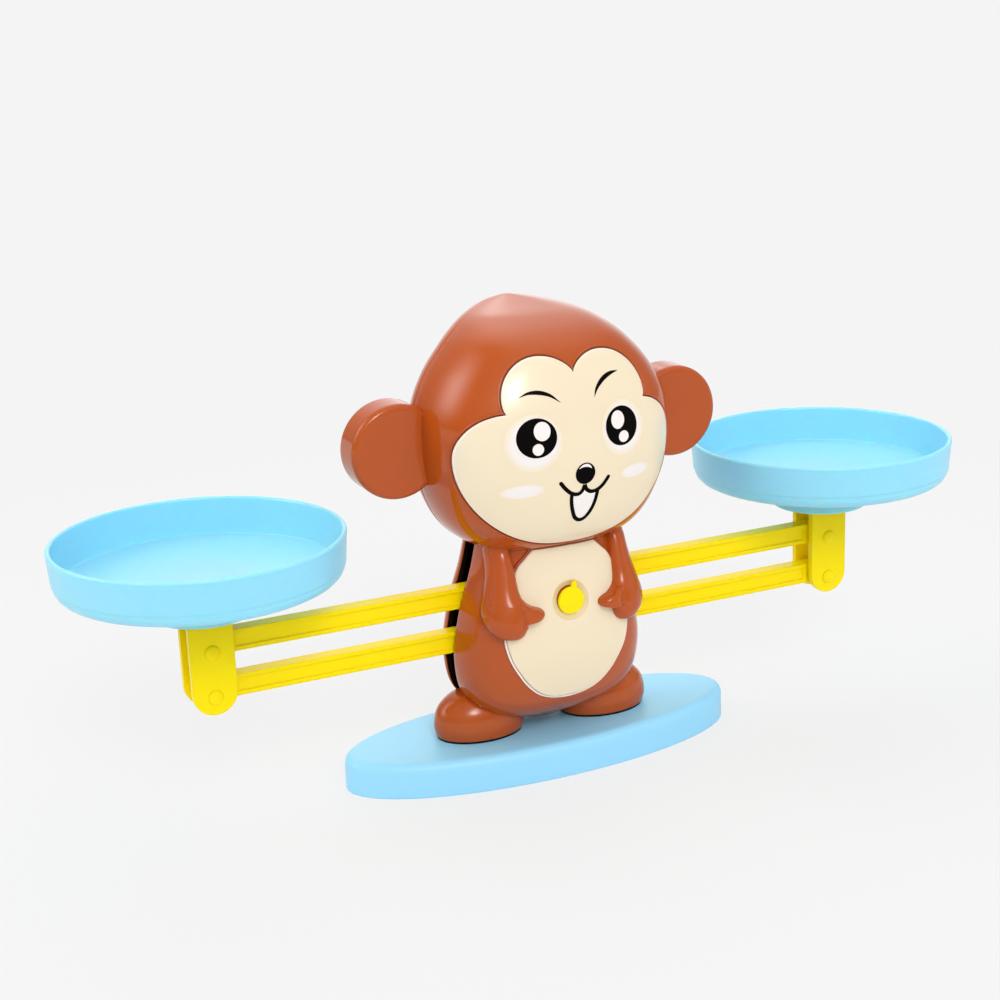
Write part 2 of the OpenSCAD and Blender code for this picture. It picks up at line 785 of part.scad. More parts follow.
module face_plate() {
    last = len(face_ring_shares) - 1;
    color("gold") skin([
        for (k = [0:last]) face_loop(face_ring_shares[k], skin_clearance),
        face_loop(1, skin_clearance + face_relief / 2),
        face_loop(face_edge_share, skin_clearance + face_relief),
        for (k = [last - 1:-1:0]) face_loop(face_ring_shares[k], skin_clearance + face_relief),
    ]);
}
module ear(side) {
    round = ear_thickness * ear_round_share;
    color("sienna") translate([side * ear_reach, ear_back_y, head_middle_z]) rotate([90, 0, 0])
        rotate_extrude() {
            square([ear_radius - round, ear_thickness]);
            square([ear_radius, ear_thickness - round]);
            translate([ear_radius - round, ear_thickness - round]) circle(r = round);
        }
}
module left_ear() { ear(-1); }
module right_ear() { ear(1); }

// Beams, axles and pointer

module beam(pivot_z, hub_bore, end_bore) {
    line_z = pivot_z - beam_drop;
    end_z = pivot_z - end_drop;
    color("gold") difference() {
        union() {
            translate([0, beam_thickness / 2, line_z]) rotate([90, 0, 0])
                linear_extrude(beam_thickness) square([2 * arm_span, beam_height], center = true);
            for (s = [-1, 1])
                rod(beam_eye_radius, -eye_length / 2, eye_length / 2, s * arm_span, line_z);
            rod(hub_radius, -hub_length / 2, hub_length / 2, 0, pivot_z);
        }
        for (s = [-1, 1]) for (y = [-beam_thickness / 2, beam_thickness / 2])
            translate([s * (channel_start + channel_stop) / 2, y, line_z])
                cube([channel_stop - channel_start, 2 * channel_depth, channel_height], center = true);
        rod(hub_bore, -slot_width, slot_width, 0, pivot_z);
        for (s = [-1, 1]) rod(end_bore, -slot_width, slot_width, s * arm_span, end_z);
    }
}
module upper_beam() {
    beam(upper_pivot_z, axle_radius + fixed_clearance, pin_radius + running_clearance);
}
module lower_beam() {
    beam(lower_pivot_z, axle_radius + running_clearance, pin_radius + loose_clearance);
}
module upper_axle() {
    color("silver") rod(axle_radius, pointer_bore_y, axle_back_y, 0, upper_pivot_z);
}
module lower_axle() {
    color("silver") rod(axle_radius, axle_front_y, axle_back_y, 0, lower_pivot_z);
}
module pointer() {
    color("gold") difference() {
        union() {
            rod(pointer_radius, pointer_face_y, pointer_back_y, 0, upper_pivot_z);
            rod(pointer_tab_radius, pointer_face_y, pointer_back_y, 0, upper_pivot_z + pointer_tab_rise);
            translate([-pointer_tab_radius, pointer_face_y, upper_pivot_z])
                cube([2 * pointer_tab_radius, pointer_thickness, pointer_tab_rise]);
        }
        rod(axle_radius + fixed_clearance, pointer_bore_y, pointer_back_y + overrun, 0, upper_pivot_z);
    }
}

// Carriers, their pins and the pans

module carrier(side) {
    color("gold") translate([side * arm_span, 0, 0]) {
        difference() {
            translate([0, carrier_depth / 2, 0]) rotate([90, 0, 0]) linear_extrude(carrier_depth) {
                translate([0, lower_beam_z]) circle(r = carrier_width / 2);
                translate([-carrier_width / 2, lower_beam_z])
                    square([carrier_width, carrier_top_z - lower_beam_z]);
            }
            translate([-carrier_width / 2 - overrun, -carrier_gap / 2, lower_beam_z - carrier_width])
                cube([carrier_width + 2 * overrun, carrier_gap,
                    carrier_top_z - bridge_height - lower_beam_z + carrier_width]);
            for (z = [upper_end_z, lower_end_z])
                rod(pin_radius + fixed_clearance, -carrier_depth, carrier_depth, 0, z);
        }
        translate([-tenon_width / 2, -tenon_depth / 2, carrier_top_z - overrun])
            cube([tenon_width, tenon_depth, tenon_height + overrun]);
    }
}
module left_carrier() { carrier(-1); }
module right_carrier() { carrier(1); }
// Pin with a domed head in front
module pin(side, z) {
    color("gold") translate([side * arm_span, carrier_depth / 2, z]) rotate([90, 0, 0])
        rotate_extrude() polygon([
            [0, 0], [pin_radius, 0], [pin_radius, carrier_depth],
            for (k = [0:pin_head_steps])
                let (a = 90 * k / pin_head_steps)
                [pin_head_radius * cos(a), carrier_depth + pin_head_height * sin(a)],
        ]);
}
module left_upper_pin() { pin(-1, upper_end_z); }
module left_lower_pin() { pin(-1, lower_end_z); }
module right_upper_pin() { pin(1, upper_end_z); }
module right_lower_pin() { pin(1, lower_end_z); }
module pan(side) {
    wall_foot = pan_radius - pan_taper;
    band = wall_foot - pan_step;
    lip = pan_wall * pan_lip_share;
    floor_top = pan_floor_rise + pan_wall;
    socket_width = tenon_width + 2 * seat_clearance;
    socket_depth = tenon_depth + 2 * seat_clearance;
    color("skyblue") translate([side * arm_span, 0, pan_foot_z]) difference() {
        rotate_extrude() {
            difference() {
                union() {
                    polygon([
                        [0, pan_floor_rise], [band - pan_cove - pan_wall, pan_floor_rise],
                        for (k = [0:pan_cove_steps])
                            let (a = 90 * k / pan_cove_steps)
                            [band - pan_cove * (1 - sin(a)), pan_cove * (1 - cos(a))],
                        [wall_foot, pan_cove + pan_step],
                        [pan_radius, pan_depth - lip], [0, pan_depth - lip],
                    ]);
                    translate([pan_radius - pan_wall / 2, pan_depth - lip]) circle(r = lip);
                    translate([skirt_radius - pan_wall, -skirt_height])
                        square([pan_wall, skirt_height + floor_top]);
                    translate([0, pan_floor_rise - pad_height]) square([pad_radius, pad_height + pan_wall]);
                }
                polygon([
                    [0, floor_top], [wall_foot - pan_wall - pan_step, floor_top],
                    [wall_foot - pan_wall, floor_top + pan_step],
                    [pan_radius - pan_wall, pan_depth + overrun], [0, pan_depth + overrun],
                ]);
            }
        }
        translate([-socket_width / 2, -socket_depth / 2, pan_floor_rise - pad_height - overrun])
            cube([socket_width, socket_depth, pad_height + overrun]);
    }
}
module left_pan() { pan(-1); }
module right_pan() { pan(1); }

// Screws: heads on the hidden side, each with a cross recess

module screw() {
    recess = screw_radius / 2;
    difference() {
        union() {
            cylinder(r = screw_head_radius, h = screw_head_height);
            translate([0, 0, -screw_web - screw_grip])
                cylinder(r = screw_radius, h = screw_web + screw_grip + recess);
        }
        for (a = [0, 90]) rotate([0, 0, a])
            translate([-screw_head_radius / 2, -recess / 2, screw_head_height / 2])
                cube([screw_head_radius, recess, screw_head_height]);
    }
}
module body_screws() {
    color("silver") for (p = body_post_places)
        translate([p[0], screw_web, p[1]]) rotate([-90, 0, 0]) screw();
}
module head_screws() {
    color("silver") for (p = head_post_places)
        translate([p[0], head_split_y + screw_web, p[1]]) rotate([-90, 0, 0]) screw();
}
module foot_screws() {
    color("silver") for (s = [-1, 1])
        translate([s * foot_screw_x, foot_centre_y, base_height - screw_web]) rotate([180, 0, 0]) screw();
}

base_plate();
left_foot();
right_foot();
body_front();
body_back();
belly_panel();
left_arm();
right_arm();
head_front();
head_back();
face_plate();
left_ear();
right_ear();
upper_beam();
lower_beam();
upper_axle();
lower_axle();
pointer();
left_carrier();
right_carrier();
left_upper_pin();
left_lower_pin();
right_upper_pin();
right_lower_pin();
left_pan();
right_pan();
body_screws();
head_screws();
foot_screws();
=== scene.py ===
"""Looks of the toy monkey balance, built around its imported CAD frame.

The frame is in metres: the monkey faces -Y, the beams run along X, and Z = 0 is the floor.
Sizes in the classes are in millimetres, as on a maker's drawing, and MM turns them to metres.
"""

import logging
import math
from bisect import bisect_right
from collections.abc import Callable
from dataclasses import dataclass, field
from enum import Enum

import bmesh
import bpy
from mathutils import Matrix, Vector

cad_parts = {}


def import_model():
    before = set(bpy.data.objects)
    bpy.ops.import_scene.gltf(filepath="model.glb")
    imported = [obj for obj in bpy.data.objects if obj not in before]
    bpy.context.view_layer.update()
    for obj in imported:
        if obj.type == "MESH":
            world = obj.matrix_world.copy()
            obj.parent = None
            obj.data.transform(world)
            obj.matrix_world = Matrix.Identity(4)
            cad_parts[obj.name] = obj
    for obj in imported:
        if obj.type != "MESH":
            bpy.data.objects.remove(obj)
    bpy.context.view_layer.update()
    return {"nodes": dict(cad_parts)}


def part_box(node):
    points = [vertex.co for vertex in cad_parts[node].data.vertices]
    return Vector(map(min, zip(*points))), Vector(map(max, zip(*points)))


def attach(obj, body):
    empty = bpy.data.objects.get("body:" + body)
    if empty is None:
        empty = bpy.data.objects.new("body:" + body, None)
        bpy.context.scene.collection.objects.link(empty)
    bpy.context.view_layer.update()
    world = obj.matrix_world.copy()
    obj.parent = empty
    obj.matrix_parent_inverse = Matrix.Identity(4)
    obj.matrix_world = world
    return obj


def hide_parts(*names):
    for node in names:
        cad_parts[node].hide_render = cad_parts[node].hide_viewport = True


LOG = logging.getLogger("monkey_balance")
MM = 0.001
COVER = "ink_cover"
SHARP_ANGLE = 40.0
# Reach of a rod that cuts a hole, in millimetres: past every wall
THROUGH = 100.0
BROWN = "#B44F14"
CREAM = "#EFDFC1"

Point = tuple[float, float, float]
Flat = tuple[float, float]
Row = tuple[float, ...]
Face = tuple[int, ...]


class Half(Enum):
    """Which half of a moulded form: the sign is that of Y."""

    FRONT = -1
    BACK = 1


class Side(Enum):
    """Which side of the monkey, as the viewer sees it: the sign is that of X."""

    LEFT = -1
    RIGHT = 1


# Finishes


def linear(code: str) -> tuple[float, float, float, float]:
    """Turns an sRGB hex colour to linear light.

    Args:
        code: A colour such as "#B0562B".

    Returns:
        Red, green, blue and alpha.
    """
    parts = [int(code[i : i + 2], 16) / 255 for i in (1, 3, 5)]
    red, green, blue = [p / 12.92 if p <= 0.04045 else ((p + 0.055) / 1.055) ** 2.4 for p in parts]
    return red, green, blue, 1.0


def add_node(
    tree: bpy.types.NodeTree,
    kind: str,
    settings: dict[str | int, object] | None = None,
    links: dict[str | int, bpy.types.NodeSocket] | None = None,
) -> bpy.types.Node:
    """Adds a node with its settings and links.

    Args:
        tree: The node tree that takes it.
        kind: Blender's name of the node type.
        settings: Values by an input's name or number, or by attribute where no input has that name.
        links: Output sockets by the name or number of the input that they feed.

    Returns:
        The node.
    """
    node = tree.nodes.new(kind)
    for name, value in (settings or {}).items():
        if isinstance(name, int) or name in node.inputs:
            node.inputs[name].default_value = value
        else:
            setattr(node, name, value)
    for name, output in (links or {}).items():
        tree.links.new(output, node.inputs[name])
    return node


def new_material(name: str) -> tuple[bpy.types.Material, bpy.types.NodeTree]:
    """Starts a material.

    Args:
        name: The material's name.

    Returns:
        The material and its node tree, which is empty.
    """
    made = bpy.data.materials.new(name)
    made.use_nodes = True
    made.node_tree.nodes.clear()
    return made, made.node_tree


def new_finish(name: str, settings: dict[str, object]) -> tuple[bpy.types.Material, bpy.types.Node]:
    """Makes a material with one surface shader.

    Args:
        name: The material's name.
        settings: The shader's values by input.

    Returns:
        The material and the shader's node.
    """
    made, tree = new_material(name)
    shader = add_node(tree, "ShaderNodeBsdfPrincipled", settings)
    add_node(tree, "ShaderNodeOutputMaterial", None, {"Surface": shader.outputs["BSDF"]})
    return made, shader


@dataclass(frozen=True)
class MouldedPlastic:
    """Injection-moulded plastic: even colour, a gloss, soft edges and a faint ripple.

    The glow is the share of light that spreads inside the wall, as in polypropylene, and glow_mm is
    how far its red, green and blue go. It keeps the shaded side of a thin wall from looking dead.
    """

    name: str
    colour: str
    roughness: float = 0.2
    ior: float = 1.5
    gloss: float = 0.5
    glow: float = 0.0
    glow_mm: Point = (1.0, 1.0, 1.0)
    edge_mm: float = 0.0
    edge_samples: int = 6
    ripple_mm: float = 9.0
    ripple_depth_mm: float = 0.01

    def material(self) -> bpy.types.Material:
        """Makes the material, with the ripple as a bump so that reflections bend a little.

        Returns:
            The material.
        """
        settings = {
            "Base Color": linear(self.colour),
            "Roughness": self.roughness,
            "IOR": self.ior,
            "Specular IOR Level": self.gloss,
            "Subsurface Weight": self.glow,
            "Subsurface Radius": self.glow_mm,
            "Subsurface Scale": MM,
        }
        made, shader = new_finish(self.name, settings)
        tree = made.node_tree
        place = add_node(tree, "ShaderNodeTexCoord")
        grain = {"Scale": 1 / (self.ripple_mm * MM), "Detail": 1.0}
        ripple = add_node(tree, "ShaderNodeTexNoise", grain, {"Vector": place.outputs["Object"]})
        depth = {"Strength": 1.0, "Distance": self.ripple_depth_mm * MM}
        bump = add_node(tree, "ShaderNodeBump", depth, {"Height": ripple.outputs["Fac"]})
        if self.edge_mm:
            bevel = {"samples": self.edge_samples, "Radius": self.edge_mm * MM}
            edge = add_node(tree, "ShaderNodeBevel", bevel)
            tree.links.new(edge.outputs["Normal"], bump.inputs["Normal"])
        tree.links.new(bump.outputs["Normal"], shader.inputs["Normal"])
        return made


@dataclass(frozen=True)
class PadPrint:
    """Pad-printed ink: a thin, even film, or one that thins out towards its edge."""

    name: str
    colour: str
    under: str = ""
    roughness: float = 0.3
    gloss: float = 0.5
    ior: float = 1.4

    def material(self) -> bpy.types.Material:
        """Makes the material. With a colour under it, the ink fades to that colour.

        Returns:
            The material.
        """
        settings = {
            "Base Color": linear(self.colour),
            "Roughness": self.roughness,
            "IOR": self.ior,
            "Specular IOR Level": self.gloss,
        }
        made, shader = new_finish(self.name, settings)
        if self.under:
            tree = made.node_tree
            cover = add_node(tree, "ShaderNodeAttribute", {"attribute_name": COVER})
            ramp = add_node(tree, "ShaderNodeValToRGB", None, {"Fac": cover.outputs["Fac"]})
            ramp.color_ramp.elements[0].color = linear(self.under)
            ramp.color_ramp.elements[1].color = linear(self.colour)
            tree.links.new(ramp.outputs["Color"], shader.inputs["Base Color"])
        return made


@dataclass(frozen=True)
class ZincSteel:
    """Zinc-plated steel of screws and axles: grey, drawn and slightly dull."""

    name: str = "zinc_plated_steel"
    colour: str = "#B9BBBE"
    roughness: float = 0.34

    def material(self) -> bpy.types.Material:
        """Returns the material."""
        settings = {"Base Color": linear(self.colour), "Roughness": self.roughness, "Metallic": 1.0}
        return new_finish(self.name, settings)[0]


class Palette:
    """Every finish of the toy, made once."""

    def __init__(self) -> None:
        """Makes the materials."""
        # Polypropylene of the pans: a soft sheen, and light that spreads inside the thin wall
        self.blue = MouldedPlastic(
            "moulded_blue_pp", "#98D9F4", 0.34, gloss=0.45, glow=0.6, glow_mm=(1.0, 4.0, 9.0), edge_mm=0.5
        ).material()
        # The same polypropylene in the base, painted paler than the pans' blue: a painted white sheen on
        # its top and painted light on its low sides. Its wall spreads no light and has rounder edges
        self.base_blue_painted_paler = MouldedPlastic(
            "moulded_blue_pp_base_painted_paler", "#9CDDFE", 0.42, gloss=0.4, edge_mm=0.9
        ).material()
        # Polypropylene of the beams and carriers: a strong, even yellow with little sheen
        self.yellow = MouldedPlastic(
            "moulded_yellow_pp", "#FFE400", 0.32, gloss=0.15, edge_mm=0.5
        ).material()
        # Polished ABS of the monkey: a deep brown that mirrors the lights sharply
        self.brown = MouldedPlastic("moulded_brown_abs", BROWN, 0.07, gloss=0.42).material()
        self.brown_edged = MouldedPlastic(
            "moulded_brown_abs_disc", BROWN, 0.07, gloss=0.42, edge_mm=0.8
        ).material()
        # Painted shade in place of the brown's own colour: near black inside the shells, on their rims
        # and as a painted contact shadow under the feet, and dark brown as painted shade in the trims'
        # grooves
        self.inside = MouldedPlastic("brown_abs_painted_shade", "#140804", 0.8, gloss=0.1).material()
        self.painted_groove_shade = MouldedPlastic("brown_abs_painted_groove_shade", "#5E2A16", 0.5, gloss=0.2).material()
        # Polished ABS of the face plate and belly panel, with a paler pink-white painted highlight on the
        # rounded edges, and a darker, yellower dish that is painted shade with a painted reflection of
        # the yellow pointer
        self.cream = MouldedPlastic("moulded_cream_abs", CREAM, 0.14).material()
        self.cream_painted_highlight = MouldedPlastic("cream_abs_painted_edge_highlight", "#FCEAE0", 0.14).material()
        self.cream_dish_painted_shade = MouldedPlastic("cream_abs_dish_painted_shade", "#E6D2A0", 0.2).material()
        self.steel = ZincSteel().material()
        self.black_ink = PadPrint("pad_printed_black", "#050302", roughness=0.6, gloss=0.08).material()
        self.white_ink = PadPrint("pad_printed_white", "#F3EBE8").material()
        self.pale_ink = PadPrint("pad_printed_pale", "#F1EAE8", CREAM).material()


# Shapes


def spline_rows(rows: list[Row], steps: int) -> list[Row]:
    """Draws a smooth curve through the rows of a table.

    Args:
        rows: The table.
        steps: New rows for each old one.

    Returns:
        The finer table.
    """

    def blend(a: float, b: float, c: float, d: float, t: float) -> float:
        """Returns one value of the curve between b and c."""
        square = (2 * a - 5 * b + 4 * c - d) * t * t
        cube = (3 * b - a - 3 * c + d) * t * t * t
        return 0.5 * (2 * b + (c - a) * t + square + cube)

    fine: list[Row] = []
    last = len(rows) - 1
    for i in range(last):
        b, c = rows[i], rows[i + 1]
        a = rows[i - 1] if i else tuple(2 * p - q for p, q in zip(b, c))
        d = rows[i + 2] if i + 2 <= last else tuple(2 * q - p for p, q in zip(b, c))
        for s in range(steps):
            fine.append(tuple(blend(*four, s / steps) for four in zip(a, b, c, d)))
    fine.append(rows[last])
    return fine


def turns(sides: int) -> list[float]:
    """Returns the angles of equal steps once round, in radians."""
    return [2 * math.pi * j / sides for j in range(sides)]


def quarter_round(radius: float, steps: int) -> list[Flat]:
    """Returns the inset and the drop along a rounded edge, from its foot to its top."""
    angles = [math.pi / 2 * s / steps for s in range(steps + 1)]
    return [(radius * (1 - math.cos(a)), radius * (1 - math.sin(a))) for a in angles]


def neighbours(path: list[Row], i: int, closed: bool) -> tuple[Row, Row]:
    """Finds the points before and after one point of a path, or that point at an open end.

    Args:
        path: The path's points.
        i: Number of the point.
        closed: Whether the last point runs on to the first.

    Returns:
        The point before and the point after.
    """
    last = len(path) - 1
    before = path[i - 1] if i or closed else path[0]
    after = path[(i + 1) % len(path)] if i < last or closed else path[last]
    return before, after


def smooth(mesh: bpy.types.Mesh) -> None:
    """Shades a mesh smooth, but for its sharp edges."""
    mesh.polygons.foreach_set("use_smooth", [True] * len(mesh.polygons))
    mesh.set_sharp_from_angle(angle=math.radians(SHARP_ANGLE))


def add_object(name: str, data: bpy.types.ID) -> bpy.types.Object:
    """Puts a mesh or a camera into the scene.

    Args:
        name: The object's name.
        data: The mesh or camera.

    Returns:
        The object.
    """
    made = bpy.data.objects.new(name, data)
    bpy.context.scene.collection.objects.link(made)
    return made


def new_object(name: str, points: list[Point], faces: list[Face]) -> bpy.types.Object:
    """Makes a smooth object from points in millimetres, with its faces turned outwards.

    Args:
        name: The object's name.
        points: Its points, in millimetres.
        faces: Indices of the points of each face.

    Returns:
        The object.
    """
    mesh = bpy.data.meshes.new(name)
    mesh.from_pydata([tuple(v * MM for v in p) for p in points], [], faces)
    work = bmesh.new()
    work.from_mesh(mesh)
    bmesh.ops.recalc_face_normals(work, faces=work.faces)
    work.to_mesh(mesh)
    work.free()
    smooth(mesh)
    return add_object(name, mesh)


def new_piece(
    name: str,
    points: list[Point],
    faces: list[Face],
    material: bpy.types.Material,
    body: str = "stand",
) -> bpy.types.Object:
    """Makes a piece of the toy.

    Args:
        name: The piece's name.
        points: Its points, in millimetres.
        faces: Indices of the points of each face.
        material: Its finish.
        body: The CAD body that carries it.

    Returns:
        The piece, which rides on the body.
    """
    piece = new_object(name, points, faces)
    piece.data.materials.append(material)
    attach(piece, body)
    LOG.info("built %s", name)
    return piece


def second_finish(
    piece: bpy.types.Object,
    material: bpy.types.Material,
    takes: Callable[[bpy.types.MeshPolygon], bool],
) -> None:
    """Gives some faces of a piece a second finish.

    Args:
        piece: The piece.
        material: The second finish.
        takes: Whether a face takes it.
    """
    piece.data.materials.append(material)
    for face in piece.data.polygons:
        face.material_index = int(takes(face))


def loft(loops: list[list[Point]], caps: bool = True) -> tuple[list[Point], list[Face]]:
    """Joins a stack of closed loops to a skin.

    Args:
        loops: Loops with the same number of points.
        caps: Whether the first and last loop are closed.

    Returns:
        Points and faces.
    """
    n = len(loops[0])
    points = [p for loop in loops for p in loop]
    faces: list[Face] = []
    for i in range(len(loops) - 1):
        for j in range(n):
            k = (j + 1) % n
            faces.append((i * n + j, i * n + k, (i + 1) * n + k, (i + 1) * n + j))
    if caps:
        faces.append(tuple(range(n - 1, -1, -1)))
        faces.append(tuple((len(loops) - 1) * n + j for j in range(n)))
    return points, faces


def loft_to_point(loops: list[list[Point]], tip: Point) -> tuple[list[Point], list[Face]]:
    """Joins a stack of closed loops to a skin that ends in a point.

    Args:
        loops: Loops with the same number of points.
        tip: The last point.

    Returns:
        Points and faces.
    """
    points, faces = loft(loops, caps=False)
    n, count = len(loops[0]), len(points)
    faces += [(count - n + j, count - n + (j + 1) % n, count) for j in range(n)]
    return points + [tip], faces


def rod(start: Flat, stop: Flat, x: float, z: float) -> bpy.types.Object:
    """Makes a round rod or cone along Y, to be joined to a piece or cut from it.

    Args:
        start: Y and radius of its first end.
        stop: Y and radius of its last end.
        x: Place across.
        z: Height.

    Returns:
        The rod.
    """
    loops = [
        [(x + radius * math.cos(a), y, z + radius * math.sin(a)) for a in turns(sides=64)]
        for y, radius in (start, stop)
    ]
    return new_object("rod", *loft(loops))


def shape(
    piece: bpy.types.Object, joined: list[bpy.types.Object], cut: list[bpy.types.Object]
) -> None:
    """Joins rods to a piece, cuts others from it and drops the rods.

    Args:
        piece: The piece that changes.
        joined: Rods that become part of it.
        cut: Rods that leave holes.
    """
    for tool in joined + cut:
        step = piece.modifiers.new(tool.name, "BOOLEAN")
        step.object = tool
        step.solver = "EXACT"
        step.operation = "UNION" if tool in joined else "DIFFERENCE"
    graph = bpy.context.evaluated_depsgraph_get()
    mesh = bpy.data.meshes.new_from_object(piece.evaluated_get(graph))
    smooth(mesh)
    piece.modifiers.clear()
    plain, piece.data = piece.data, mesh
    mesh.name = piece.name
    bpy.data.meshes.remove(plain)
    for tool in joined + cut:
        bpy.data.meshes.remove(tool.data)


def offset_path(path: list[Flat], distance: float, closed: bool) -> list[Flat]:
    """Moves a path to its right-hand side, seen along its run.

    Args:
        path: Points of X and Z.
        distance: How far it moves.
        closed: Whether the last point runs on to the first.

    Returns:
        The moved path.
    """
    moved: list[Flat] = []
    for i, (x, z) in enumerate(path):
        before, after = neighbours(path, i, closed)
        run = Vector((after[0] - before[0], after[1] - before[1])).normalized()
        moved.append((x + run.y * distance, z - run.x * distance))
    return moved


def bead(path: list[Point], radius: float, closed: bool) -> tuple[list[Point], list[Face]]:
    """Makes a thin round bead along a path on a form's front.

    Args:
        path: Points of its middle line.
        radius: Its radius.
        closed: Whether the last point runs on to the first.

    Returns:
        Points and faces.
    """
    loops: list[list[Point]] = []
    for i, place in enumerate(path):
        before, after = neighbours(path, i, closed)
        run = (Vector(after) - Vector(before)).normalized()
        across = run.cross(Vector((0.0, -1.0, 0.0))).normalized()
        above = across.cross(run)
        steps = [across * math.cos(a) * radius + above * math.sin(a) * radius for a in turns(sides=10)]
        loops.append([tuple(Vector(place) + step) for step in steps])
    if closed:
        loops.append(loops[0])
    return loft(loops, caps=not closed)


@dataclass
class MouldedForm:
    """A moulded form given by level sections.

    Each row holds height, half width, front depth, back depth and the middle's Y, in millimetres.
    """

    rows: list[Row]
    front_power: float = 2.8
    back_power: float = 2.0
    half_slot: float = 0.0
    steps: int = 8
    columns: int = 48
    edge_round: float = 0.5
    edge_share: float = 0.04
    edge_steps: int = 3
    heights: list[float] = field(init=False)

    def __post_init__(self) -> None:
        """Refines the rows."""
        self.rows = spline_rows(self.rows, self.steps)
        self.heights = [r[0] for r in self.rows]

    @staticmethod
    def sized(shares: tuple[Row, ...], start: Flat, scale: Row) -> list[Row]:
        """Turns rows of shares to sizes.

        Args:
            shares: Rows of shares of the scale.
            start: Height and middle Y where the shares are 0.
            scale: Height, half width, front depth, back depth and the middle's lean.

        Returns:
            Rows in millimetres.
        """
        low, middle = start
        rows = [tuple(share * size for share, size in zip(r, scale)) for r in shares]
        return [(low + z, width, front, back, middle + lean) for z, width, front, back, lean in rows]

    def row_at(self, z: float) -> Row:
        """Finds the section at one height, between the two nearest rows.

        Args:
            z: The height.

        Returns:
            The section's row.
        """
        i = min(max(bisect_right(self.heights, z) - 1, 0), len(self.rows) - 2)
        low, high = self.rows[i], self.rows[i + 1]
        t = min(max((z - low[0]) / (high[0] - low[0]), 0.0), 1.0)
        return tuple(p + (q - p) * t for p, q in zip(low, high))

    def half_of(self, row: Row, half: Half) -> tuple[float, float, float]:
        """Reads one half of a section.

        Args:
            row: The section's row.
            half: Front or back.

        Returns:
            The rim's Y, the depth and the power of the half's curve.
        """
        _, _, front, back, middle = row
        rim = middle + half.value * self.half_slot
        if half is Half.FRONT:
            return rim, front, self.front_power
        return rim, back, self.back_power

    def surface_y(self, half: Half, x: float, z: float) -> float:
        """Finds one half's surface at one point.

        Args:
            half: Front or back.
            x: Place across.
            z: Height.

        Returns:
            The surface's Y.
        """
        row = self.row_at(z)
        rim, depth, power = self.half_of(row, half)
        return rim + half.value * depth * (1 - min(abs(x) / row[1], 1.0) ** power) ** (1 / power)

    def front_out(self, x: float, z: float, out: float) -> Point:
        """Finds a point of the front and moves it along the section's normal.

        Args:
            x: Place across.
            z: Height.
            out: How far it moves out. Below 0 it moves in.

        Returns:
            The moved point.
        """
        row = self.row_at(z)
        rim, depth, power = self.half_of(row, Half.FRONT)
        share = min(abs(x) / row[1], 1.0)
        deep = (1 - share**power) ** (1 / power)
        across, along = share ** (power - 1) / row[1], deep ** (power - 1) / depth
        reach = out / math.hypot(across, along)
        return x + math.copysign(across * reach, x), rim - deep * depth - along * reach, z

    def arc(self, row: Row, half: Half) -> list[Point]:
        """Draws half of one section, with rounded parting edges.

        Args:
            row: The section's row.
            half: Front or back.

        Returns:
            Its points, from +X to -X.
        """
        z, width = row[:2]
        rim, depth, power = self.half_of(row, half)
        fillet = min(self.edge_round, width * self.edge_share)
        edge = quarter_round(fillet, self.edge_steps)
        right = [(width - drop, rim + half.value * inset, z) for inset, drop in edge]
        points = list(right)
        for j in range(1, self.columns):
            a = math.pi * j / self.columns
            cosine, sine = math.cos(a), math.sin(a)
            r = ((abs(cosine) / width) ** power + (abs(sine) / depth) ** power) ** (-1 / power)
            points.append((r * cosine, rim + half.value * r * sine, z))
        return points + [(-x, y, z) for x, y, _ in reversed(right)]

    def half_shell(self, half: Half, centre: Point, share: float) -> tuple[list[Point], list[Face]]:
        """Makes one half as a shell with a wall.

        Args:
            half: Front or back.
            centre: The point that the inner skin shrinks to.
            share: The inner skin's size as a share of the outer.

        Returns:
            Points and faces. The second half of the points is the inner skin's.
        """
        outer = [self.arc(r, half) for r in self.rows]
        inner = [
            [tuple(c + (v - c) * share for v, c in zip(p, centre)) for p in row] for row in outer
        ]
        m, top = len(outer[0]) - 1, len(outer) - 1
        points = [p for grid in (outer, inner) for row in grid for p in row]
        size = (m + 1) * (top + 1)
        faces: list[Face] = []

        def at(skin: int, i: int, j: int) -> int:
            """Returns the index of one point of the outer (0) or inner (1) skin."""
            return skin * size + i * (m + 1) + j

        for i in range(top):
            for j in range(m):
                faces.append((at(0, i, j), at(0, i, j + 1), at(0, i + 1, j + 1), at(0, i + 1, j)))
                faces.append((at(1, i, j), at(1, i + 1, j), at(1, i + 1, j + 1), at(1, i, j + 1)))
            faces.append((at(0, i, 0), at(0, i + 1, 0), at(1, i + 1, 0), at(1, i, 0)))
            faces.append((at(0, i, m), at(1, i, m), at(1, i + 1, m), at(0, i + 1, m)))
        faces.append(tuple(at(0, 0, j) for j in range(m, -1, -1)))
        faces.append(tuple(at(1, 0, j) for j in range(m + 1)))
        faces.append(tuple(at(0, top, j) for j in range(m + 1)))
        faces.append(tuple(at(1, top, j) for j in range(m, -1, -1)))
        faces.append((at(0, 0, 0), at(1, 0, 0), at(1, 0, m), at(0, 0, m)))
        faces.append((at(0, top, 0), at(0, top, m), at(1, top, m), at(1, top, 0)))
        return points, faces


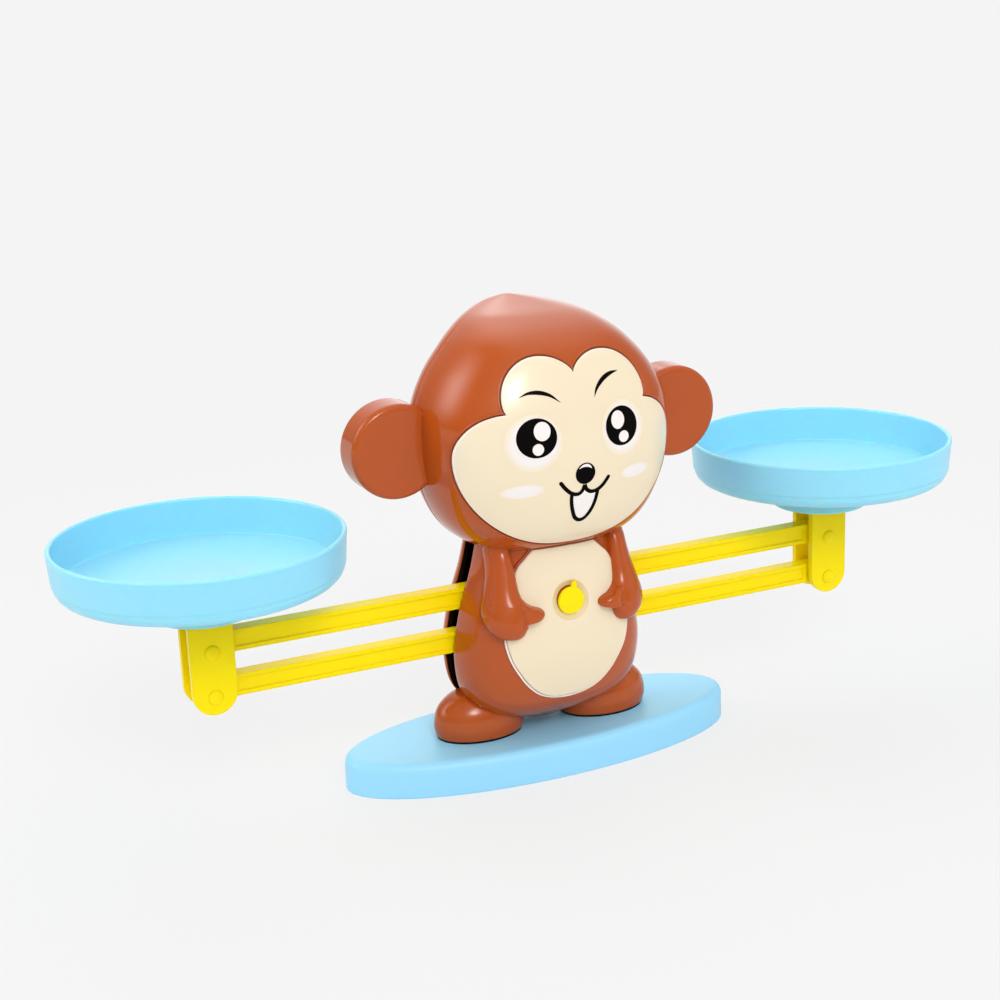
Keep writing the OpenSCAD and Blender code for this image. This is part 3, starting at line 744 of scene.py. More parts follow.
@dataclass(frozen=True)
class Posts:
    """Screw posts of two shells that meet at a parting plane."""

    x: float
    low_z: float
    high_z: float
    joint_y: float
    radius: float = 3.4
    web: float = 4.0
    head_radius: float = 2.4
    margin: float = 0.3

    def build(self, shell: bpy.types.Object, form: MouldedForm, half: Half) -> None:
        """Joins the posts to one shell and sinks the screw heads' holes into the back one.

        Args:
            shell: The shell.
            form: Its form.
            half: Front or back.
        """
        joined: list[bpy.types.Object] = []
        cut: list[bpy.types.Object] = []
        for side in Side:
            for z in (self.low_z, self.high_z):
                reach = abs(self.x) + self.radius
                ends = [abs(form.surface_y(half, reach, z + s * self.radius)) for s in (-1, 1)]
                end = half.value * (min(ends) - self.margin)
                x = side.value * self.x
                joined.append(rod((self.joint_y, self.radius), (end, self.radius), x, z))
                if half is Half.BACK:
                    near, far = self.joint_y + self.web, self.joint_y + THROUGH
                    cut.append(rod((near, self.head_radius), (far, self.head_radius), x, z))
        shape(shell, joined, cut)


def build_shells(
    form: MouldedForm,
    name: str,
    middles: dict[Half, Point],
    share: float,
    posts: Posts,
    palette: Palette,
) -> None:
    """Builds the two brown shells of a form, with painted shade on their insides and rims.

    Args:
        form: The form.
        name: The start of the CAD nodes' names.
        middles: The point that each shell's inner skin shrinks to.
        share: The inner skin's size as a share of the outer.
        posts: The screw posts.
        palette: The finishes.
    """
    for half, middle in middles.items():
        node = f"{name}_{half.name.lower()}"
        points, faces = form.half_shell(half, middle, share)
        shell = new_piece(f"{node}_shell", points, faces, palette.brown)
        inner = len(points) // 2
        # Painted shade: the inner skin and the rims take the near-black finish.
        second_finish(shell, palette.inside, lambda face: max(face.vertices) >= inner)
        posts.build(shell, form, half)
        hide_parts(node)


@dataclass
class Head:
    """Head of two shells, with a face plate and its print."""

    neck_z: float = 96.0
    height: float = 98.3
    half_width: float = 52.3
    front_depth: float = 43.5
    back_depth: float = 34.0
    lean: float = 22.0
    split_y: float = -2.2
    wall: float = 2.4
    ear_rise: float = 46.0
    face_rise: float = 0.455
    left_cheek: float = 0.914
    right_cheek: float = 0.852
    cheek_bend: float = 2.2
    chin: float = 0.398
    notch_reach: float = 0.565
    notch_rise: float = 0.180
    brow_rise: float = 0.312
    lobe_rise: float = 0.092
    lobe_bend: float = 0.7
    plate_gap: float = 0.3
    plate_relief: float = 0.6
    plate_round: float = 0.35
    bead_radius: float = 0.45
    bead_gap: float = 0.35
    gap_shade_radius: float = 0.22
    print_lift: float = 0.05
    fade_rings: int = 2
    posts: Posts = Posts(x=18.83, low_z=115.66, high_z=164.81, joint_y=-2.2)
    row_shares: tuple[Row, ...] = (
        (0, 0.400, 0.410, 0.620, 0),
        (0.025, 0.580, 0.580, 0.780, 0),
        (0.081, 0.745, 0.755, 0.905, 0),
        (0.173, 0.878, 0.878, 0.970, 0),
        (0.315, 0.979, 0.966, 1, 0),
        (0.468, 1.010, 1, 1, 0),
        (0.610, 0.994, 0.970, 0.950, 0),
        (0.743, 0.875, 0.905, 0.845, 0.06),
        (0.844, 0.720, 0.815, 0.710, 0.14),
        (0.905, 0.590, 0.670, 0.645, 0.24),
        (0.951, 0.440, 0.460, 0.480, 0.44),
        (0.983, 0.215, 0.235, 0.200, 0.85),
        (1, 0.030, 0.030, 0.030, 0.96),
    )
    form: MouldedForm = field(init=False)

    def __post_init__(self) -> None:
        """Turns the shares to sizes."""
        scale = (self.height, self.half_width, self.front_depth, self.back_depth, self.lean)
        start = (self.neck_z, self.split_y)
        self.form = MouldedForm(MouldedForm.sized(self.row_shares, start, scale))

    @property
    def face_z(self) -> float:
        """Height of the face plate's centre."""
        return self.neck_z + self.height * self.face_rise

    def plate_radius(self, angle: float) -> float:
        """Finds the face plate's outline at one angle.

        Args:
            angle: The angle from +X about the plate's centre, in radians.

        Returns:
            The radius there.
        """
        side_share = self.right_cheek if math.cos(angle) > 0 else self.left_cheek
        cheek, chin = self.half_width * side_share, self.height * self.chin
        notch_x, notch_z = self.half_width * self.notch_reach, self.height * self.notch_rise
        top, lobe = self.height * self.brow_rise, self.height * self.lobe_rise
        a = math.atan2(math.sin(angle), abs(math.cos(angle)))
        notch_angle, notch = math.atan2(notch_z, notch_x), math.hypot(notch_x, notch_z)
        if a < 0:
            return 1 / math.hypot(math.cos(a) / cheek, math.sin(a) / chin)
        if a < notch_angle:
            return cheek + (notch - cheek) * (a / notch_angle) ** self.cheek_bend
        t = (a - notch_angle) / (math.pi / 2 - notch_angle)
        arch = max(math.sin(math.pi * t), 0.0) ** self.lobe_bend
        return notch + (top - notch) * t + lobe * arch

    def on_plate(self, x: float, z: float, lift: float) -> Point:
        """Returns a point over the face plate's front at X and Z."""
        y = self.form.surface_y(Half.FRONT, x, z)
        return x, y - self.plate_gap - self.plate_relief - lift, z

    def build(self, palette: Palette) -> None:
        """Builds the shells, the face plate and the print.

        Args:
            palette: The finishes.
        """
        middle = (0.0, self.split_y, self.neck_z + self.ear_rise)
        share = 1 - self.wall / self.half_width
        build_shells(self.form, "head", {half: middle for half in Half}, share, self.posts, palette)
        self.build_plate(palette)
        self.build_eyes(palette)
        self.build_brows(palette)
        self.build_muzzle(palette)
        self.build_cheeks(palette)

    def build_plate(self, palette: Palette) -> None:
        """Builds the face plate with a rounded edge in a paler painted highlight, a raised bead round it
        and a dark bead of painted shade in the gap between them.

        Args:
            palette: The finishes.
        """
        columns, rings = 256, 40
        edge = quarter_round(self.plate_round, steps=6)
        profile = [(0.0, -self.plate_gap)] + [(inset, self.plate_relief - drop) for inset, drop in edge]
        loops = [self.plate_loop(columns, 1.0, inset, rise) for inset, rise in profile]
        for k in range(rings - 1, 0, -1):
            loops.append(self.plate_loop(columns, k / rings, self.plate_round, self.plate_relief))
        skin = loft_to_point(loops, self.on_plate(0.0, self.face_z, 0.0))
        plate = new_piece("face_plate_front", *skin, palette.cream)
        # Painted highlight: the rounded edge's rings take the paler pink-white finish.
        flat = len(profile) * columns
        second_finish(plate, palette.cream_painted_highlight, lambda face: max(face.vertices) < flat)
        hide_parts("face_plate")
        outline = [(x, z) for x, _, z in loops[0]]
        # The gap piece is a dark bead of painted shade between the plate's edge and the raised brown
        # bead.
        trims = (
            ("face_plate_bead", self.bead_gap + self.bead_radius, self.bead_radius, palette.brown),
            ("face_plate_gap_shade", self.bead_gap / 2, self.gap_shade_radius, palette.painted_groove_shade),
        )
        for name, away, radius, finish in trims:
            ring = offset_path(outline, away, closed=True)
            path = [(x, self.form.surface_y(Half.FRONT, x, z), z) for x, z in ring]
            new_piece(name, *bead(path, radius, closed=True), finish)

    def plate_loop(self, columns: int, share: float, inset: float, rise: float) -> list[Point]:
        """Returns one closed loop of the face plate.

        Args:
            columns: Number of points.
            share: Size of the loop as a share of the outline.
            inset: Distance inside the outline.
            rise: Height over the head's surface and the gap.

        Returns:
            The loop's points.
        """
        loop: list[Point] = []
        for a in turns(columns):
            r = (self.plate_radius(a) - inset) * share
            x, z = r * math.cos(a), self.face_z + r * math.sin(a)
            loop.append((x, self.form.surface_y(Half.FRONT, x, z) - self.plate_gap - rise, z))
        return loop

    def patch(self, name: str, outline: list[Flat], layer: int, ink: bpy.types.Material) -> None:
        """Prints a filled shape on the face plate, with the ink's cover on its points.

        Args:
            name: The piece's name.
            outline: Its outline as X and Z, seen from its middle without overlaps.
            layer: How many prints lie under it.
            ink: Its finish.
        """
        n, rings = len(outline), 8
        middle_x = sum(p[0] for p in outline) / n
        middle_z = sum(p[1] for p in outline) / n
        lift = self.print_lift * (layer + 1)
        loops: list[list[Point]] = []
        for k in range(rings, 0, -1):
            share = k / rings
            across = [middle_x + (x - middle_x) * share for x, _ in outline]
            heights = [middle_z + (z - middle_z) * share for _, z in outline]
            loops.append([self.on_plate(x, z, lift) for x, z in zip(across, heights)])
        points, faces = loft_to_point(loops, self.on_plate(middle_x, middle_z, lift))
        piece = new_piece(name, points, faces, ink)
        cover = piece.data.attributes.new(COVER, "FLOAT", "POINT")
        shares = [min(1.0, (i // n) / self.fade_rings) for i in range(len(points))]
        cover.data.foreach_set("value", shares)

    def stroke(self, name: str, line: list[Row], layer: int, ink: bpy.types.Material) -> None:
        """Prints a brush stroke on the face plate.

        Args:
            name: The piece's name.
            line: Rows of X, Z and width along the stroke.
            layer: How many prints lie under it.
            ink: Its finish.
        """
        fine = spline_rows(line, steps=10)
        lift = self.print_lift * (layer + 1)
        points: list[Point] = []
        for i, (x, z, width) in enumerate(fine):
            before, after = neighbours(fine, i, closed=False)
            run = Vector((after[0] - before[0], after[1] - before[1])).normalized()
            for s in (-0.5, 0.0, 0.5):
                points.append(self.on_plate(x - run.y * width * s, z + run.x * width * s, lift))
        faces: list[Face] = []
        for i in range(len(fine) - 1):
            for s in (0, 1):
                a = i * 3 + s
                faces.append((a, a + 3, a + 4, a + 1))
        new_piece(name, points, faces, ink)

    @staticmethod
    def oval(x: float, z: float, half_x: float, half_z: float, turn: float = 0.0) -> list[Flat]:
        """Draws an oval's outline.

        Args:
            x: Its middle's place across.
            z: Its middle's height.
            half_x: Half its length.
            half_z: Half its height.
            turn: How far it is turned, in degrees.

        Returns:
            Points of X and Z.
        """
        c, s = math.cos(math.radians(turn)), math.sin(math.radians(turn))
        outline: list[Flat] = []
        for a in turns(sides=64):
            u, v = half_x * math.cos(a), half_z * math.sin(a)
            outline.append((x + u * c - v * s, z + u * s + v * c))
        return outline

    def build_eyes(self, palette: Palette) -> None:
        """Prints the eyes: a pale halo, a black round and two white glints each.

        Args:
            palette: The finishes.
        """
        prints = (
            ("halo", 0, palette.pale_ink, (-20.3, 147.0, 11.6, 11.2), (18.2, 148.2, 9.8, 11.0)),
            ("black", 1, palette.black_ink, (-19.2, 148.9, 8.2, 7.7), (17.6, 149.1, 7.3, 7.8)),
            ("glint", 2, palette.white_ink, (-17.0, 151.4, 3.4, 3.7), (15.9, 151.7, 3.0, 3.6)),
            ("low_glint", 2, palette.white_ink, (-19.0, 144.5, 2.3, 2.3), (18.3, 144.8, 2.3, 2.3)),
        )
        for side in Side:
            for kind, layer, ink, left, right in prints:
                spot = left if side is Side.LEFT else right
                self.patch(f"{side.name.lower()}_eye_{kind}", self.oval(*spot), layer, ink)

    def build_brows(self, palette: Palette) -> None:
        """Prints the two brows, tapered at both ends.

        Args:
            palette: The finishes.
        """
        left = [(-24.3, 164.5, 0.1), (-20.6, 165.8, 1.0), (-16.4, 165.8, 1.6)]
        left += [(-12.0, 164.4, 1.2), (-7.9, 161.3, 0.1)]
        right = [(6.8, 161.6, 0.1), (8.6, 164.9, 1.2), (11.9, 167.8, 1.7)]
        right += [(15.6, 169.4, 1.4), (19.3, 169.9, 0.2)]
        self.stroke("left_brow", left, 0, palette.black_ink)
        self.stroke("right_brow", right, 0, palette.black_ink)

    def build_muzzle(self, palette: Palette) -> None:
        """Prints the nose with its glint, the lips and the open mouth.

        Args:
            palette: The finishes.
        """
        pen = 1.6
        self.patch("nose_print", self.oval(1.0, 132.3, 4.3, 4.4), 1, palette.black_ink)
        glint = [(-1.9, 134.5, 0.1), (-0.3, 135.4, 0.9), (1.4, 135.6, 1.2)]
        glint += [(2.7, 135.1, 0.9), (3.7, 134.1, 0.1)]
        self.stroke("nose_glint", glint, 2, palette.white_ink)
        mouth = [(-4.5, 124.6), (-4.4, 121.0), (-3.5, 117.2), (-2.0, 113.8), (0.3, 112.4)]
        mouth += [(2.6, 113.3), (4.8, 116.4), (6.2, 120.4), (6.9, 124.8)]
        sides = len(mouth)
        mouth += [(4.0, 124.2), (1.0, 126.2), (-2.0, 123.9)]
        ring = spline_rows(mouth + mouth[:1], steps=6)[:-1]
        self.patch("mouth_white", ring, 0, palette.white_ink)
        self.stroke("mouth_outline", [(x, z, pen) for x, z in mouth[:sides]], 1, palette.black_ink)
        left = [(-9.6, 129.6), (-7.4, 127.0), (-4.8, 124.8), (-2.0, 124.0), (-0.1, 125.1)]
        right = [(1.9, 125.5), (4.0, 124.3), (6.9, 124.8), (9.4, 126.8), (11.3, 129.4)]
        middle = [(0.9, 127.6)]
        self.stroke("left_lip", [(x, z, pen) for x, z in left + middle], 1, palette.black_ink)
        self.stroke("right_lip", [(x, z, pen) for x, z in middle + right], 1, palette.black_ink)
        for name, (x, z) in (("left", left[0]), ("right", right[-1])):
            self.patch(f"{name}_lip_end", self.oval(x, z, pen / 2, pen / 2), 1, palette.black_ink)

    def build_cheeks(self, palette: Palette) -> None:
        """Prints the pale cheek ovals."""
        self.patch("left_cheek", self.oval(-24.9, 128.0, 8.6, 2.9, 2.0), 0, palette.pale_ink)
        self.patch("right_cheek", self.oval(24.3, 129.8, 7.2, 2.9, 4.0), 0, palette.pale_ink)


@dataclass
class Body:
    """Body of two shells with a slot between them, with the belly panel, arms and feet."""

    base_z: float = 17.0
    height: float = 79.0
    half_width: float = 40.4
    front_depth: float = 27.5
    back_depth: float = 21.5
    half_slot: float = 4.5
    wall: float = 2.2
    panel_gap: float = 0.3
    panel_thickness: float = 1.0
    panel_round: float = 0.8
    # Width of the painted highlight along the panel's rounded edge
    edge_highlight_width: float = 0.5
    bead_radius: float = 0.48
    bead_gap: float = 0.12
    gap_shade_radius: float = 0.16
    bead_turn: float = 0.86
    arm_step: float = 1.8
    arm_crown: float = 6.2
    thumb_share: float = 0.8
    palm_inner: float = 0.47
    thumb_outer: float = 0.56
    foot_z: float = 14.5
    foot_half_length: float = 20.0
    foot_half_width: float = 14.0
    foot_height: float = 20.0
    foot_reach: float = 29.0
    foot_y: float = -1.54
    pointer_z: float = 76.4
    pointer_hole: float = 5.8
    dish_radius: float = 8.2
    dish_depth: float = 1.1
    dish_lip: float = 0.15
    dish_land: float = 0.5
    dish_foot: float = 0.6
    dish_ease: float = 0.1
    # Height of the painted contact shadow at the bottom of each foot, as a share of the foot's height
    contact_shadow_share: float = 0.05
    posts: Posts = Posts(x=14.54, low_z=45.24, high_z=87.66, joint_y=0.0)
    row_shares: tuple[Row, ...] = (
        (0, 0.150, 0.040, 0.100, 0),
        (0.019, 0.280, 0.130, 0.200, 0),
        (0.057, 0.500, 0.340, 0.400, 0),
        (0.101, 0.680, 0.545, 0.570, 0),
        (0.165, 0.842, 0.745, 0.740, 0),
        (0.241, 0.950, 0.855, 0.870, 0),
        (0.354, 1, 0.945, 0.960, 0),
        (0.494, 1, 1, 1, 0),
        (0.696, 0.917, 0.982, 0.953, 0),
        (0.873, 0.800, 0.898, 0.837, 0),
        (1, 0.735, 0.836, 0.767, 0),
        (1.035, 0.718, 0.810, 0.750, 0),
    )
    belly_shares: tuple[Row, ...] = (
        (0.216, 0.030),
        (0.222, 0.130),
        (0.236, 0.230),
        (0.262, 0.330),
        (0.310, 0.432),
        (0.370, 0.520),
        (0.475, 0.630),
        (0.595, 0.670),
        (0.722, 0.600),
        (0.823, 0.545),
        (0.899, 0.540),
        (0.949, 0.492),
        (0.985, 0.425),
        (1.03, 0.340),
    )
    arm_shares: tuple[Row, ...] = (
        (0.588, 0.590, 0.650, 0.08),
        (0.596, 0.545, 0.710, 0.40),
        (0.614, 0.505, 0.756, 0.66),
        (0.646, 0.474, 0.795, 0.88),
        (0.676, 0.452, 0.812, 0.97),
        (0.685, 0.355, 0.815, 0.99),
        (0.695, 0.315, 0.817, 1),
        (0.712, 0.300, 0.818, 1),
        (0.730, 0.312, 0.816, 0.99),
        (0.743, 0.352, 0.812, 0.98),
        (0.758, 0.425, 0.806, 0.96),
        (0.790, 0.490, 0.786, 0.91),
        (0.835, 0.515, 0.760, 0.83),
        (0.899, 0.522, 0.728, 0.74),
        (0.962, 0.530, 0.710, 0.66),
        (1.030, 0.540, 0.696, 0.60),
        (1.100, 0.550, 0.680, 0.40),
    )
    foot_shares: tuple[Row, ...] = (
        (0, 0.93),
        (0.05, 0.95),
        (0.14, 0.98),
        (0.28, 1),
        (0.50, 0.965),
        (0.67, 0.88),
        (0.85, 0.69),
        (0.95, 0.465),
        (1, 0.20),
    )
    form: MouldedForm = field(init=False)

    def __post_init__(self) -> None:
        """Turns the shares to sizes."""
        scale = (self.height, self.half_width, self.front_depth, self.back_depth, 0.0)
        rows = MouldedForm.sized(self.row_shares, (self.base_z, 0.0), scale)
        self.form = MouldedForm(rows, half_slot=self.half_slot)

    def build(self, palette: Palette) -> None:
        """Builds the shells, the belly panel, the arms and the feet.

        Args:
            palette: The finishes.
        """
        share = 1 - self.wall / self.half_width
        middle_z = self.base_z + self.height / 2
        middles = {half: (0.0, half.value * self.half_slot, middle_z) for half in Half}
        build_shells(self.form, "body", middles, share, self.posts, palette)
        self.build_belly(palette)
        for side in Side:
            self.build_arm(side, palette)
            self.build_foot(side, palette)

    def build_belly(self, palette: Palette) -> None:
        """Builds the belly panel with its rounded edge and the bead's lower run in a paler painted
        highlight, its dished pointer hole and its bead, and dark lines of painted shade inside and
        outside the bead.

        Args:
            palette: The finishes.
        """
        columns = 96
        rows = spline_rows(list(self.belly_shares), steps=12)
        outline = [(w * self.half_width, self.base_z + z * self.height) for z, w in rows]
        loops: list[list[Point]] = []
        edge_highlight_mask: list[bool] = []
        for w, z in outline:
            front: list[Point] = []
            back: list[Point] = []
            low = z - outline[0][1]
            end = math.sqrt(min(1.0, low / self.panel_round))
            for j in range(columns + 1):
                x = w * math.sin((2 * j / columns - 1) * math.pi / 2)
                inset = min(1.0, (w - abs(x)) / self.panel_round)
                crown = end * math.sqrt(max(1 - (1 - inset) ** 2, 0.0))
                out = self.panel_gap + self.panel_thickness * crown
                front.append(self.form.front_out(x, z, out))
                back.append(self.form.front_out(x, z, -self.panel_gap))
                edge_highlight_mask.append(min(low, w - abs(x)) < self.edge_highlight_width)
            edge_highlight_mask += [True] * (columns + 1)
            loops.append(front + back[::-1])
        panel = new_piece("belly_panel_front", *loft(loops), palette.cream)
        # Painted highlight: faces near the panel's edge take the paler pink-white finish.
        second_finish(panel, palette.cream_painted_highlight, lambda face: all(edge_highlight_mask[v] for v in face.vertices))
        hole = rod((-THROUGH, self.dish_radius), (0.0, self.dish_radius), 0.0, self.pointer_z)
        shape(panel, [], [hole])
        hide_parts("belly_panel")
        self.build_dish(palette)
        run = [(-w, z) for w, z in reversed(outline)] + outline
        turn_z = self.base_z + self.bead_turn * self.height
        low_run = [p for p in run if p[1] <= turn_z]
        left_run = [p for p in run if p[1] > turn_z and p[0] < 0]
        right_run = [p for p in run if p[1] > turn_z and p[0] > 0]
        beside = self.bead_gap + self.bead_radius
        # The gap and line pieces are dark beads of painted shade beside the panel's edge and outside its
        # bead; the low bead is a raised ridge in the paler painted-highlight finish.
        trims = (
            ("gap", run, self.bead_gap / 2, self.gap_shade_radius, palette.painted_groove_shade),
            ("line", run, self.bead_gap + 2 * self.bead_radius, self.gap_shade_radius, palette.painted_groove_shade),
            ("bead", low_run, beside, self.bead_radius, palette.cream_painted_highlight),
            ("left_bead", left_run, beside, self.bead_radius, palette.brown),
            ("right_bead", right_run, beside, self.bead_radius, palette.brown),
        )
        for name, along, away, radius, finish in trims:
            moved = offset_path(along, away, closed=False)
            path = [self.form.front_out(x, z, 0.0) for x, z in moved]
            new_piece(f"belly_panel_{name}", *bead(path, radius, closed=False), finish)

    def build_dish(self, palette: Palette) -> None:
        """Builds the dished ring about the pointer, with a lip that runs back into the hole, in a darker,
        yellower cream: painted shade with a painted reflection of the yellow pointer.

        Args:
            palette: The finishes.
        """
        face = self.panel_gap + self.panel_thickness
        floor = face - self.dish_depth
        profile = (
            (self.dish_radius, -self.panel_gap),
            (self.dish_radius, face - self.dish_lip),
            (self.dish_radius - self.dish_lip, face),
            (self.dish_radius - self.dish_land, face - self.dish_ease),
            (self.pointer_hole + self.dish_foot, floor + self.dish_ease),
            (self.pointer_hole, floor),
            (self.pointer_hole, -self.panel_gap - self.dish_depth),
        )
        loops: list[list[Point]] = []
        for radius, out in profile:
            ring = [(radius * math.cos(a), radius * math.sin(a)) for a in turns(sides=128)]
            loops.append([self.form.front_out(x, self.pointer_z + z, out) for x, z in ring])
        # Painted shade with a painted yellow reflection: the dish takes the darker, yellower cream.
        new_piece("belly_pointer_dish", *loft(loops, caps=False), palette.cream_dish_painted_shade)

    def arm_rise(self, share: float, inner: float, outer: float) -> float:
        """Returns how far an arm's dome rises at one share of the half width.

        Args:
            share: Place across, as a share of the half width.
            inner: The arm's inner edge there.
            outer: The arm's outer edge there.

        Returns:
            The rise as a share of the crown. The thumb is a lower dome beside the palm's.
        """

        def dome(low: float, high: float) -> float:
            """Returns the height of a round dome between two edges."""
            t = (2 * share - low - high) / (high - low)
            return math.sqrt(max(1 - t * t, 0.0))

        palm = dome(max(inner, self.palm_inner), outer)
        if inner >= self.palm_inner:
            return palm
        return max(palm, self.thumb_share * dome(inner, self.thumb_outer))

    def build_arm(self, side: Side, palette: Palette) -> None:
        """Builds one arm with its hand and thumb, rounded down to the body.

        Args:
            side: Left or right.
            palette: The finishes.
        """
        columns = 64
        loops: list[list[Point]] = []
        for share_z, inner, outer, rise in spline_rows(list(self.arm_shares), steps=8):
            z = self.base_z + share_z * self.height
            front: list[Point] = []
            back: list[Point] = []
            for j in range(columns + 1):
                share = inner + (outer - inner) * (1 - math.cos(math.pi * j / columns)) / 2
                out = self.arm_step + self.arm_crown * rise * self.arm_rise(share, inner, outer)
                x = side.value * self.half_width * share
                front.append(self.form.front_out(x, z, out))
                back.append(self.form.front_out(x, z, -self.panel_gap))
            loops.append(front + back[::-1])
        name = f"{side.name.lower()}_arm"
        arm = new_piece(f"{name}_moulding", *loft(loops), palette.brown)
        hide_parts(name)

    def build_foot(self, side: Side, palette: Palette) -> None:
        """Builds one foot as a smooth dome, with a painted contact shadow on its lowest band.

        Args:
            side: Left or right.
            palette: The finishes.
        """
        loops: list[list[Point]] = []
        for share_z, size in spline_rows(list(self.foot_shares), steps=6):
            loop: list[Point] = []
            for a in turns(sides=64):
                x = side.value * self.foot_reach + self.foot_half_length * size * math.cos(a)
                y = self.foot_y + self.foot_half_width * size * math.sin(a)
                loop.append((x, y, self.foot_z + self.foot_height * share_z))
            loops.append(loop)
        name = f"{side.name.lower()}_foot"
        foot = new_piece(f"{name}_dome", *loft(loops), palette.brown)
        # Painted contact shadow: the lowest band of the dome takes the near-black finish.
        contact_shadow_top = (self.foot_z + self.foot_height * self.contact_shadow_share) * MM
        second_finish(foot, palette.inside, lambda face: face.center.z < contact_shadow_top)
        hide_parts(name)


@dataclass
class Pointer:
    """Yellow disc on the upper axle with a finger that leans a little."""

    radius: float = 5.7
    finger_half: float = 1.2
    finger_rise: float = 6.9
    lean: float = 13.0
    edge_round: float = 0.4
    pivot_z: float = 76.4

    def reach(self, away: float) -> float:
        """Finds the outline at one angle.

        Args:
            away: The angle from the finger, in radians.

        Returns:
            The disc's radius, or the finger's reach where that is longer.
        """
        ahead, side = math.cos(away), abs(math.sin(away))
        if ahead <= 0:
            return self.radius
        if self.finger_half * ahead <= self.finger_rise * side:
            return max(self.radius, self.finger_half / side)
        tip = math.sqrt(self.finger_half**2 - (self.finger_rise * side) ** 2)
        return max(self.radius, self.finger_rise * ahead + tip)

    def build(self, palette: Palette) -> None:
        """Builds the disc in the CAD node's place, with rounded edges.

        Args:
            palette: The finishes.
        """
        low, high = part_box("pointer")
        face_y, back_y = low[1] / MM, high[1] / MM
        edge = quarter_round(self.edge_round, steps=4)
        profile = [(back_y, 0.0)] + [(face_y + drop, inset) for inset, drop in edge]
        loops: list[list[Point]] = []
        for y, inset in profile:
            loop: list[Point] = []
            for a in turns(sides=720):
                r = self.reach(a) - inset
                turn = a + math.radians(self.lean)
                loop.append((r * math.sin(turn), y, self.pivot_z + r * math.cos(turn)))
            loops.append(loop)
        disc = new_piece("pointer_disc", *loft(loops), palette.yellow, "upper_beam")
        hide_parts("pointer")


class Hardware:
    """Pieces that keep their CAD solids: base, beams, pans, carriers, ears, pins and screws."""

    def dress(self, nodes: dict[str, bpy.types.Object], palette: Palette) -> None:
        """Gives each CAD node its finish.

        Args:
            nodes: The CAD nodes by name.
            palette: The finishes.
        """
        finishes = {
            palette.base_blue_painted_paler: ("base_plate",),
            palette.blue: ("left_pan", "right_pan"),
            palette.yellow: ("upper_beam", "lower_beam", "left_carrier", "right_carrier"),
            palette.brown_edged: ("left_ear", "right_ear"),
            palette.steel: ("upper_axle", "lower_axle", "body_screws", "head_screws", "foot_screws"),
        }
        for finish, names in finishes.items():
            for name in names:
                self.finish(nodes[name], finish)
        for name, node in nodes.items():
            if name.endswith("_pin"):
                self.finish(node, palette.yellow)

    def finish(self, node: bpy.types.Object, material: bpy.types.Material) -> None:
        """Gives one CAD node a finish and smooth shading over its round faces.

        Args:
            node: The CAD node.
            material: Its finish.
        """
        node.data.materials.clear()
        node.data.materials.append(material)
        smooth(node.data)
        LOG.info("dressed %s", node.name)


def direction(azimuth: float, elevation: float) -> Vector:
    """Returns the way at two angles in degrees. Azimuth 0 is the monkey's front, 90 its +X side."""
    a, e = math.radians(azimuth), math.radians(elevation)
    return Vector((math.sin(a) * math.cos(e), -math.cos(a) * math.cos(e), math.sin(e)))


@dataclass(frozen=True)
class SoftLight:
    """A soft light of the surround, brightest in its middle. Angles are in degrees."""

    azimuth: float
    elevation: float
    spread: float
    strength: float


